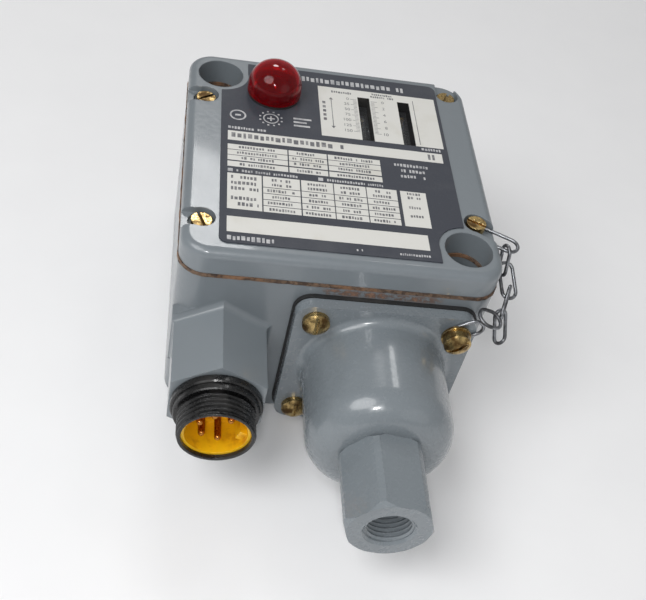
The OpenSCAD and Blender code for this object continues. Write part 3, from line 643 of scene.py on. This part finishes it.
# Lines of print on the dark label: left, right, foot, height and share of them that is ink
LIGHT_LINES = [
    (-9.8, 25.1, 37.6, 2.5, 0.93), (-34.0, -22.0, 7.5, 1.3, 0.9), (27.6, 33.8, 7.4, 1.3, 0.9),
    (17.6, 28.8, -2.0, 1.4, 0.9), (19.6, 27.2, -4.6, 1.4, 0.9), (19.2, 27.4, -7.2, 1.4, 0.9),
    (-31.4, -13.0, -12.9, 1.1, 0.9), (-4.2, 13.0, -12.9, 1.1, 0.9),
    (-34.0, -19.2, -42.4, 1.9, 0.95), (2.0, 4.4, -42.0, 0.9, 0.9), (15.2, 24.2, -42.0, 1.0, 0.9),
]
# Lines of print on the white panels: left, right, foot and height
DARK_LINES = [(-0.2, 6.6, 32.9, 1.2), (13.6, 20.6, 34.1, 1.0), (13.0, 21.2, 32.7, 1.0),
              (-33.0, 2.2, 3.1, 2.5)]


def greeked(bm, draw, x, y, height, low, high, dense=0.9):
    """A line of print as small plain bars, as it looks from afar."""
    at = x[0]
    while at < x[1] - 0.3:
        width = min(draw.uniform(0.3, 0.62) * height, x[1] - at)
        if draw.random() < dense:
            foot, top = draw.choice(((0.0, 1.0), (0.0, 0.82), (0.12, 1.0), (0.12, 0.9)))
            rectangle(bm, (at, at + width), (y + foot * height, y + top * height), low, high)
        at += width + 0.24 * height


def make_label():
    paint("label", "label_plate")
    paint("pane", "window_pane")
    # Black sheets of painted shade on the walls of the window slots
    make_window_shade_liner()
    style = bpy.context.scene.switch_label
    draw = random.Random(style.print_seed)
    panels = bmesh.new()
    for x, y in PANELS + TABLES:
        printed(panels, x, y)
    settle_print("label_panels", panels, "print")

    light = bmesh.new()
    for left, right, foot, height, dense in LIGHT_LINES:
        greeked(light, draw, (left, right), foot, height, PRINT_LOW, PRINT_TOP, dense)
    for left in (-34.0, -6.9):
        printed(light, (left, left + 1.5), (-13.0, -11.6))
    settle_print("label_light_print", light, "faint")
    make_marks()
    make_dark_print(draw)


def make_window_shade_liner():
    """Black sheets that paint the shade on the walls of the two window slots through the cover's
    plate.
    """
    low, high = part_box("window_pane")[1].z / MM + 0.02, FACE_Z + 0.03
    inner = SLOT - SHADE_LINER
    bm = bmesh.new()
    for x in (RANGE_X, DIFFERENTIAL_X):
        for side in (x - SLOT, x + inner):
            rectangle(bm, (side, side + SHADE_LINER), WINDOW_Y, low, high)
        for end in (WINDOW_Y[0], WINDOW_Y[1] - SHADE_LINER):
            rectangle(bm, (x - inner, x + inner), (end, end + SHADE_LINER), low, high)
    # The black sheets are painted shade in the slots, riding on the cover
    settle(finished("window_liner", bm, FINISHES["rubber"].material, 0), "cover", "black_rubber")


def ring_shape(bm, centre, outer, inner):
    """Flat ring on the label."""
    profile = [(outer, PRINT_LOW), (outer, PRINT_TOP), (inner, PRINT_TOP), (inner, PRINT_LOW)]
    part = bmesh.new()
    lathe(part, profile, 40, Matrix.Translation(mm(centre[0], centre[1], 0)), closed=True)
    scratch = bpy.data.meshes.new("ring")
    part.to_mesh(scratch)
    part.free()
    bm.from_mesh(scratch)
    bpy.data.meshes.remove(scratch)


def make_marks():
    """Three plain marks beside the windows: a ring, a ring among dots and a stack of bars."""
    bm = bmesh.new()
    ring_shape(bm, (-31.0, 14.8), 2.6, 2.05)
    printed(bm, (-31.9, -30.1), (14.4, 15.2))
    ring_shape(bm, (-20.6, 14.8), 2.5, 2.1)
    printed(bm, (-21.8, -19.4), (14.55, 15.05))
    printed(bm, (-20.85, -20.35), (13.6, 14.5))
    printed(bm, (-20.85, -20.35), (15.1, 16.0))
    for turn in range(12):
        angle = math.radians(15 + 30 * turn)
        x, y = -20.6 + 3.5 * math.cos(angle), 14.8 + 3.5 * math.sin(angle)
        printed(bm, (x - 0.3, x + 0.3), (y - 0.3, y + 0.3))
    for row, right in enumerate((-7.6, -9.2, -8.2)):
        printed(bm, (-13.4, right), (15.9 - 1.8 * row, 16.7 - 1.8 * row))
    settle_print("label_marks", bm, "faint")


def number(text, x, y, material):
    """A scale number as flat mesh."""
    curve = bpy.data.curves.new("number_" + text, "FONT")
    curve.body = text
    curve.size = NUMBER_SIZE * MM
    curve.align_x = "RIGHT"
    curve.extrude = NUMBER_RELIEF * MM
    mesh = mesh_of(curve)
    mesh.transform(Matrix.Translation(mm(x, y, PRINT_TOP)))
    return new_object("number", mesh, material)


def make_dark_print(draw):
    """Dark print on the white panels: scales, arrow, numbers and greeked lines."""
    bm = bmesh.new()
    low, high = PRINT_LOW, INK_TOP
    for step in range(25):
        y = SCALE_TOP - SCALE_STEP * step
        long = step % 4 == 0
        rectangle(bm, (6.9 - 0.9 * long, 8.1), (y - 0.08, y + 0.08), low, high)
        rectangle(bm, (12.9, 14.1 + 0.9 * long), (y - 0.08, y + 0.08), low, high)
    rectangle(bm, (27.4, 27.62), (10.2, 33.6), low, high)
    rectangle(bm, (-0.62, -0.38), (14.6, 29.2), low, high)
    for tip, way in ((30.2, 1), (13.6, -1)):
        made = bmesh.ops.create_cone(bm, cap_ends=True, cap_tris=True, segments=3,
                                     radius1=0.8 * MM, radius2=0.8 * MM,
                                     depth=(high - low) * MM)["verts"]
        turn = Matrix.Rotation(math.radians(90 - 90 * way), 4, "Z")
        bmesh.ops.transform(bm, verts=made, matrix=Matrix.Translation(
            mm(-0.5, tip - way * 0.8, (low + high) / 2)) @ turn)
    for row in range(5):
        y = 26.3 - 2.2 * row
        rectangle(bm, (-3.5, -2.5), (y, y + 1.3), low, high)
    for left, right, foot, height in DARK_LINES:
        greeked(bm, draw, (left, right), foot, height, low, high)
    for left in (29.2, 30.6):
        rectangle(bm, (left, left + 0.8), (3.0, 5.6), low, high)
    for x, y in TABLES:
        if y[1] - y[0] < 3:
            reach = (x[1] - x[0]) * draw.uniform(0.25, 0.42)
            middle = (x[0] + x[1]) / 2
            greeked(bm, draw, (middle - reach, middle + reach), y[0] + 0.6, 1.2, low, high)
    for x in RATING_COLUMNS:
        middle = (x[0] + x[1]) / 2
        for y in (-15.8, -17.9):
            greeked(bm, draw, (middle - 2.9, middle + 2.9), y, 1.2, low, high)
    for row, y in enumerate((-16.2, -18.7, -21.2, -25.4, -27.9)):
        greeked(bm, draw, (-33.0, -25.0 - 0.7 * (row % 2)), y, 1.5, low, high)
    for y in (-15.4, -17.2, -21.6, -25.4):
        greeked(bm, draw, (20.2, 24.2), y, 1.2, low, high)
    ink = FINISHES["ink"].material
    marks = finished("label_dark_print", bm, ink, 0)
    parts = [marks]
    for step, value in enumerate(("0", "25", "50", "75", "100", "125", "150")):
        parts.append(number(value, 5.6, SCALE_TOP - 2.85 * step - NUMBER_DROP, ink))
    for step, value in enumerate(("0", "2", "4", "6", "8", "10")):
        parts.append(number(value, 17.4, SCALE_TOP - 3.42 * step - NUMBER_DROP, ink))
    settle(joined("label_dark_print", parts), "cover", "label")


# ---- Pilot light ----

LENS_BASE, LENS_TOP, LENS_RADIUS, LENS_BAND = 65.72, 76.4, 8.6, 3.1
LENS_FULLNESS = 0.92  # 1 for a round dome, less for a squarer one
DOME_STEPS = 22


def dome(radius, rise, steps):
    """Profile of a dome above the lens's band, at the given steps between its rim and top."""
    angles = [math.radians(90 * step / DOME_STEPS) for step in steps]
    return [(radius * math.cos(angle) ** LENS_FULLNESS,
             LENS_BASE + LENS_BAND + rise * math.sin(angle)) for angle in angles]


def make_pilot_light():
    outer, wall = LENS_RADIUS, bpy.context.scene.switch_lens.wall
    profile = [(outer - 1.6, LENS_BASE), (outer - 0.25, LENS_BASE), (outer, LENS_BASE + 0.3)]
    for rib in range(3):
        z = LENS_BASE + 0.55 + rib * 0.8
        profile += [(outer, z), (outer - 0.22, z + 0.12), (outer - 0.22, z + 0.34),
                    (outer, z + 0.46)]
    profile.append((outer - 0.05, LENS_BASE + LENS_BAND))
    rise = LENS_TOP - LENS_BASE - LENS_BAND
    profile += dome(outer - 0.05, rise, range(1, DOME_STEPS + 1))
    profile += dome(outer - wall, rise - wall, range(DOME_STEPS, -1, -1))
    profile.append((outer - wall, LENS_BASE + 0.2))
    bm = bmesh.new()
    lathe(bm, profile, 72, Matrix.Translation(mm(LAMP[0], LAMP[1], 0)), closed=True)
    piece = finished("pilot_lens_dome", bm, FINISHES["lens"].material, 35)
    settle(piece, "lens", "red_lens", "pilot_lens")
    paint("rubber", "lens_gasket")
    paint("socket", "lamp_socket")
    paint("steel", "lamp_nut")
    paint("bulb", "lamp_bulb")
    paint("brass", "lamp_bulb_base")
    paint("contact", "lamp_terminals")


# ---- Receptacle ----

PLUG_BORE = 9.75  # radius of the receptacle's mouth


def make_receptacle():
    place = axis_frame(mm(HUB[0], 0, HUB[1]), SIDE)
    bm = bmesh.new()
    threaded_sleeve(bm, 75.2, 82.6, crest=11.1, root=10.35, wall=PLUG_BORE, pitch=1.5875)
    collar = bmesh.new()
    lathe(collar, [(PLUG_BORE, 66.0), (10.5, 66.0), (10.5, 70.82), (12.6, 70.82), (13.1, 71.2),
                   (13.1, 73.0), (12.75, 73.4), (12.1, 73.5), (12.3, 73.8), (12.3, 75.0),
                   (12.0, 75.4), (10.45, 75.45), (10.3, 75.2), (PLUG_BORE, 75.2)], 96, closed=True)
    mouth = bmesh.new()
    lathe(mouth, [(PLUG_BORE, 82.6), (10.35, 82.6), (10.8, 82.7), (10.8, 82.9), (10.6, 83.1),
                  (9.95, 83.1), (PLUG_BORE, 82.9)], 96, closed=True)
    pieces = [finished("shell_part", part, FINISHES["black_plastic"].material, 32)
              for part in (bm, collar, mouth)]
    shell = joined("connector_threaded_shell", pieces)
    shell.data.transform(place)
    settle(shell, "enclosure", "black_plastic", "connector_shell")
    paint("yellow", "connector_insert")
    paint("contact", "connector_pins")
    paint("wire", "connector_wires")


# ---- Pressure module ----

def make_pressure_module():
    paint("module", "pressure_housing", "port_fitting")
    paint("rubber", "flange_gasket")
    paint("brass", "flange_screws", "chain_washers", "bellows")
    bm = bmesh.new()
    threaded_sleeve(bm, 94.6, 107.0, crest=6.2, root=6.86, wall=7.05, pitch=1.411)
    piece = finished("port_thread", bm, FINISHES["module"].material, 32)
    piece.data.transform(axis_frame(mm(PORT[0], 0, PORT[1]), SIDE))
    settle(piece, "enclosure", "module_paint")


# ---- Mechanism ----

def coil(name, x, z, radius, wire, low, high, turns, material, steps=20):
    """Compression spring along +Y, from low to high, in millimetres."""
    rise = (high - low - 2 * wire) / (turns * steps)
    points = [(x + radius * math.cos(2 * math.pi * i / steps), low + wire + rise * i,
               z + radius * math.sin(2 * math.pi * i / steps))
              for i in range(turns * steps + 1)]
    return tube(name, points, wire, material, sides=2)


def make_pointer_tip():
    """Bright bevelled tip of the differential pointer, just under the window's pane."""
    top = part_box("differential_nut")[1].z / MM
    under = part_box("window_pane")[0].z / MM - 0.5
    bm = bmesh.new()
    rectangle(bm, (DIFFERENTIAL_X - 1.4, DIFFERENTIAL_X + 1.4), (29.3, 30.7), top - 0.5, under)
    bmesh.ops.bevel(bm, geom=bm.edges[:], offset=0.25 * MM, segments=2, profile=0.5,
                    affect="EDGES", material=-1)
    settle(finished("differential_pointer_tip", bm, FINISHES["tip"].material, 40),
           "differential_pointer", "yellow_brass")


# Spring: axis, turns, wire radius, joint that squeezes it, travel, and the room that its
# foot leaves for the lever's tilt. The plunger spring's far end stands still.
SPRINGS = {
    "range_spring": ((RANGE_X, ADJUSTER_Z), 9, 0.8, "range_travel", 17.5, 1.0),
    "differential_spring": ((DIFFERENTIAL_X, ADJUSTER_Z), 12, 0.5, "differential_travel", 17.5,
                            0.5),
    "plunger_spring": ((-20.0, 24.0), 6, 0.35, "plunger_travel", 2.26, 0.0),
}


def make_mechanism():
    paint("steel", "mechanism_frame", "frame_screws", "pivot_pin", "pivot_clip", "main_lever",
          "push_rod", "bellows_cap", "guide_posts", "guide_plate_screws", "range_screw",
          "differential_screw")
    paint("socket", "guide_plate")
    paint("brass", "rod_guide", "pivot_spacer", "range_nut", "differential_nut")
    make_pointer_tip()
    for node, (place, turns, wire, joint, travel, room) in SPRINGS.items():
        low, high = (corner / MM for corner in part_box(node))
        outer, foot = (high.x - low.x) / 2, low.y + room
        piece = coil(node + "_coil", place[0], place[1], outer - wire, wire, foot, high.y,
                     turns, FINISHES["steel"].material)
        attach(piece, "enclosure")
        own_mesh(piece)
        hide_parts(node)


def make_contact_block():
    paint("phenolic", "contact_base", "contact_cover")
    paint("plunger", "contact_plunger")
    paint("contact", "contact_bridge", "fixed_contacts", "terminal_screws")
    paint("steel", "contact_block_screws")


LEAD_ROUTES = [
    [(-29.5, 15.3, 37.8), (-29.8, 18.5, 38.6), (-30, 22.5, 38.5), (-28, 26.5, 36.5),
     (-24.5, 28.3, 36), (-22.3, 28, 38.5), (-22, 28, 42.7)],
    [(-10.5, 15.3, 37.8), (-10, 18.5, 38.6), (-10.2, 22.5, 38.5), (-11.5, 26.5, 36.5),
     (-14.5, 28.3, 36), (-16.7, 28, 38.5), (-17, 28, 42.7)],
]


def make_lamp_leads():
    for side, route in zip(("left", "right"), LEAD_ROUTES):
        piece = tube("lamp_lead_" + side, smoothed(route, 6), 0.72, FINISHES["wire"].material)
        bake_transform(piece)
        if side == "left":
            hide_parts("lamp_leads")


# ---- Retaining chain ----

LINK_WIRE, LINK_WIDTH = 0.55, 5.6
ANCHOR = Vector((40.7, -24.5, 61.8))
# Start, end, the way that it is wide, and its width
LOOSE_LINKS = [
    ((49.5, -31.9, 63.3), (49.9, -34.6, 54.1), (-0.2, 0.9, 0.0), 4.2),
    ((50.4, -32.7, 57.3), (51.8, -42.7, 52.4), (1.0, 0.1, 0.1), 4.2),
    ((51.7, -40.0, 54.7), (49.0, -48.3, 49.0), (0.3, 0.4, -0.8), 4.2),
    ((48.6, -46.6, 51.0), (50.6, -51.0, 41.4), (0.9, 0.5, 0.3), 3.8),
]
RING = ((47.9, -51.0, 50.6), (40.8, -51.7, 53.2), (-0.1, 0.7, 0.1), 6.0)
TIE_START, TIE_REACH = Vector((35.4, -52.8, 45.6)), Vector((6.9, 0.0, 5.0))


def chain_link(name, start, end, side, width, material):
    """Oval wire link from start to end."""
    start, end, side = Vector(start), Vector(end), Vector(side)
    along = (end - start).normalized()
    across = (side - side.dot(along) * along).normalized()
    centre = (start + end) / 2
    reach = ((end - start).length - width) / 2
    arc = 14
    points = []
    for way in (1, -1):
        for step in range(arc + 1):
            turn = math.radians(-90 + 180 * step / arc)
            points.append(tuple(centre + way * (reach + width / 2 * math.cos(turn)) * along
                                + way * width / 2 * math.sin(turn) * across))
    return tube(name, points, LINK_WIRE, material, closed=True)


def make_retaining_chain():
    wire = FINISHES["chain"].material
    reach, side = Vector((12.5, -6.7, 0.0)), Vector((0.5, 1.0, 0.0))
    half = LINK_WIDTH / 2
    anchor = chain_link("chain_anchor", ANCHOR - half * reach.normalized(), ANCHOR + reach, side,
                        LINK_WIDTH, wire)
    settle(anchor, "cover", "bright_steel", "chain_anchor_link")
    tie = chain_link("chain_tie_link", TIE_START - half * TIE_REACH.normalized(),
                     TIE_START + TIE_REACH, (-0.5, 0.0, 1.0), LINK_WIDTH, wire)
    settle(tie, "enclosure", "bright_steel", "chain_links")
    settle(chain_link("chain_tie_ring", *RING, wire), "enclosure", "bright_steel", "chain_ring")
    for count, (start, end, side, width) in enumerate(LOOSE_LINKS, 1):
        piece = chain_link(f"chain_link_{count}", start, end, side, width, wire)
        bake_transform(piece)


# ---- Stage ----

# Light: its place in metres and its size; its power is a setting of the same name
LIGHTS = {
    "key": ((-0.55, -0.35, 0.85), 0.7),
    "fill": ((0.8, -0.9, 0.5), 0.9),
    "front": ((-0.083, -0.37, 0.378), 0.07),
    "back": ((-0.02, 0.9, 0.92), 0.24),
    "streak": ((0.3, 0.65, 0.92), 0.15),
}
LIT_POINT = Vector((0.0, -0.02, 0.03))
CAMERA_PLACE = (-53.916, -247.422, 256.167)
CAMERA_AXES = ((0.98211, -0.05331, 0.18059), (-0.0821, 0.7418, 0.6656),
               (-0.16944, -0.66852, 0.72414))  # its right, its up and its back
CAMERA_LENS = 56.64
CAMERA_SHIFT = (0.0027, 0.0368)


def make_floor():
    bm = bmesh.new()
    bmesh.ops.create_grid(bm, x_segments=1, y_segments=1, size=3.0)
    floor = finished("floor", bm, None, 0)
    made = Finish("pale_floor", Roughness=0.9)
    mottle = speckle(made.tree, made.place, 40.0, 3.0)
    made.link(mixed(made.tree, mottle, (0.86, 0.86, 0.87, 1.0), (0.9, 0.9, 0.905, 1.0)),
              "Base Color")
    floor.data.materials.append(made.material)
    floor.data.transform(Matrix.Translation(mm(0, 0, -0.2)))


def make_lights():
    style = bpy.context.scene.switch_stage
    world = bpy.data.worlds.new("studio")
    world.use_nodes = True
    world.node_tree.nodes["Background"].inputs[0].default_value = (1.0, 1.0, 1.0, 1.0)
    world.node_tree.nodes["Background"].inputs[1].default_value = style.ambient
    bpy.context.scene.world = world
    bpy.context.scene.view_settings.view_transform = "Standard"
    for name, (place, size) in LIGHTS.items():
        lamp = bpy.data.lights.new(name, "AREA")
        lamp.shape = "DISK"
        lamp.size = size
        lamp.energy = getattr(style, name)
        carrier = bpy.data.objects.new(name + "_light", lamp)
        bpy.context.scene.collection.objects.link(carrier)
        carrier.location = place
        carrier.rotation_mode = "QUATERNION"
        aim = LIT_POINT - carrier.location
        carrier.rotation_quaternion = aim.to_track_quat("-Z", "Y")


def make_camera():
    camera = bpy.data.cameras.new("camera")
    camera.lens = CAMERA_LENS
    camera.sensor_width = 36.0
    camera.shift_x, camera.shift_y = CAMERA_SHIFT
    camera.clip_start, camera.clip_end = 0.01, 10.0
    carrier = bpy.data.objects.new("camera", camera)
    bpy.context.scene.collection.objects.link(carrier)
    turn = Matrix(CAMERA_AXES).transposed().to_4x4()
    carrier.matrix_world = Matrix.Translation(mm(*CAMERA_PLACE)) @ turn
    bpy.context.scene.camera = carrier


# ---- Settings ----

class SWITCH_PG_finishes(bpy.types.PropertyGroup):
    """Colours of the switch"""
    enamel_grey: bpy.props.FloatVectorProperty(
        name="Enamel grey", description="Colour of the cast enclosure's enamel",
        subtype="COLOR", size=3, min=0.0, max=1.0, default=tone(117, 124, 129)[:3])
    lens_red: bpy.props.FloatVectorProperty(
        name="Lens red", description="Colour of the pilot light's lens",
        subtype="COLOR", size=3, min=0.0, max=1.0, default=(0.50, 0.002, 0.010))


class SWITCH_PG_label(bpy.types.PropertyGroup):
    """Print on the label"""
    print_seed: bpy.props.IntProperty(
        name="Print seed", description="Picks the widths of the greeked words", default=7)


class SWITCH_PG_lens(bpy.types.PropertyGroup):
    """Shape of the pilot light's lens"""
    wall: bpy.props.FloatProperty(
        name="Lens wall", description="Wall thickness in millimetres", default=1.5,
        min=0.8, max=2.5)


def power(name, description, default):
    """Setting for the power of a light."""
    return bpy.props.FloatProperty(name=name, description=description, default=default, min=0.0,
                                   unit="POWER")


class SWITCH_PG_stage(bpy.types.PropertyGroup):
    """Light on the stage"""
    ambient: bpy.props.FloatProperty(
        name="Ambient", description="Strength of the light from all round", default=0.30, min=0.0)
    key: power("Key light", "Power of the main light", 5.7)
    fill: power("Fill light", "Power of the light from the right", 0.8)
    front: power("Front light", "Power of the small light beside the camera", 0.7)
    back: power("Back light", "Power of the light from behind", 1.8)
    streak: power("Streak light", "Power of the light that lies along the round housing", 0.4)


# ---- Operators ----

class SWITCH_OT_finishes(bpy.types.Operator):
    """Makes the finishes that the pieces share"""
    bl_idname = "switch.finishes"
    bl_label = "Finishes"

    def execute(self, context):
        make_finishes()
        return {"FINISHED"}


class SWITCH_OT_enclosure(bpy.types.Operator):
    """Finishes the cast base, the cover, its gasket and its screws"""
    bl_idname = "switch.enclosure"
    bl_label = "Enclosure"

    def execute(self, context):
        make_enclosure()
        return {"FINISHED"}


class SWITCH_OT_label(bpy.types.Operator):
    """Prints the label with its panels, scales and tables"""
    bl_idname = "switch.label"
    bl_label = "Label"

    def execute(self, context):
        make_label()
        return {"FINISHED"}


class SWITCH_OT_pilot_light(bpy.types.Operator):
    """Makes the red lens and finishes the lamp under it"""
    bl_idname = "switch.pilot_light"
    bl_label = "Pilot light"

    def execute(self, context):
        make_pilot_light()
        make_lamp_leads()
        return {"FINISHED"}


class SWITCH_OT_receptacle(bpy.types.Operator):
    """Makes the threaded shell and finishes the insert, pins and wires"""
    bl_idname = "switch.receptacle"
    bl_label = "Receptacle"

    def execute(self, context):
        make_receptacle()
        return {"FINISHED"}


class SWITCH_OT_pressure_module(bpy.types.Operator):
    """Finishes the bellows housing and cuts the port's thread"""
    bl_idname = "switch.pressure_module"
    bl_label = "Pressure module"

    def execute(self, context):
        make_pressure_module()
        return {"FINISHED"}


class SWITCH_OT_mechanism(bpy.types.Operator):
    """Finishes the lever, the adjusters and the springs"""
    bl_idname = "switch.mechanism"
    bl_label = "Mechanism"

    def execute(self, context):
        make_mechanism()
        return {"FINISHED"}


class SWITCH_OT_contact_block(bpy.types.Operator):
    """Finishes the contact block and its terminals"""
    bl_idname = "switch.contact_block"
    bl_label = "Contact block"

    def execute(self, context):
        make_contact_block()
        return {"FINISHED"}


class SWITCH_OT_retaining_chain(bpy.types.Operator):
    """Makes the chain that keeps the cover"""
    bl_idname = "switch.retaining_chain"
    bl_label = "Retaining chain"

    def execute(self, context):
        make_retaining_chain()
        return {"FINISHED"}


class SWITCH_OT_stage(bpy.types.Operator):
    """Sets the floor, the lights and the camera"""
    bl_idname = "switch.stage"
    bl_label = "Stage"

    def execute(self, context):
        make_floor()
        make_lights()
        make_camera()
        return {"FINISHED"}


OPERATORS = (SWITCH_OT_finishes, SWITCH_OT_enclosure, SWITCH_OT_label, SWITCH_OT_pilot_light,
             SWITCH_OT_receptacle, SWITCH_OT_pressure_module, SWITCH_OT_mechanism,
             SWITCH_OT_contact_block, SWITCH_OT_retaining_chain, SWITCH_OT_stage)
SETTINGS = {"switch_finishes": SWITCH_PG_finishes, "switch_label": SWITCH_PG_label,
            "switch_lens": SWITCH_PG_lens, "switch_stage": SWITCH_PG_stage}


class SWITCH_PT_panel(bpy.types.Panel):
    """Lists the settings and the pieces"""
    bl_idname = "SWITCH_PT_panel"
    bl_label = "Pressure switch"
    bl_space_type = "VIEW_3D"
    bl_region_type = "UI"
    bl_category = "Pressure switch"

    def draw(self, context):
        for name, kind in SETTINGS.items():
            for setting in kind.__annotations__:
                self.layout.prop(getattr(context.scene, name), setting)
        for operator in OPERATORS:
            self.layout.operator(operator.bl_idname)


def register():
    for kind in (*SETTINGS.values(), *OPERATORS, SWITCH_PT_panel):
        bpy.utils.register_class(kind)
    for name, kind in SETTINGS.items():
        setattr(bpy.types.Scene, name, bpy.props.PointerProperty(type=kind))


def unregister():
    for name in SETTINGS:
        delattr(bpy.types.Scene, name)
    for kind in (SWITCH_PT_panel, *reversed(OPERATORS), *SETTINGS.values()):
        bpy.utils.unregister_class(kind)


def main():
    register()
    for operator in OPERATORS:
        group, name = operator.bl_idname.split(".")
        getattr(getattr(bpy.ops, group), name)()


if __name__ == "__main__":
    main()
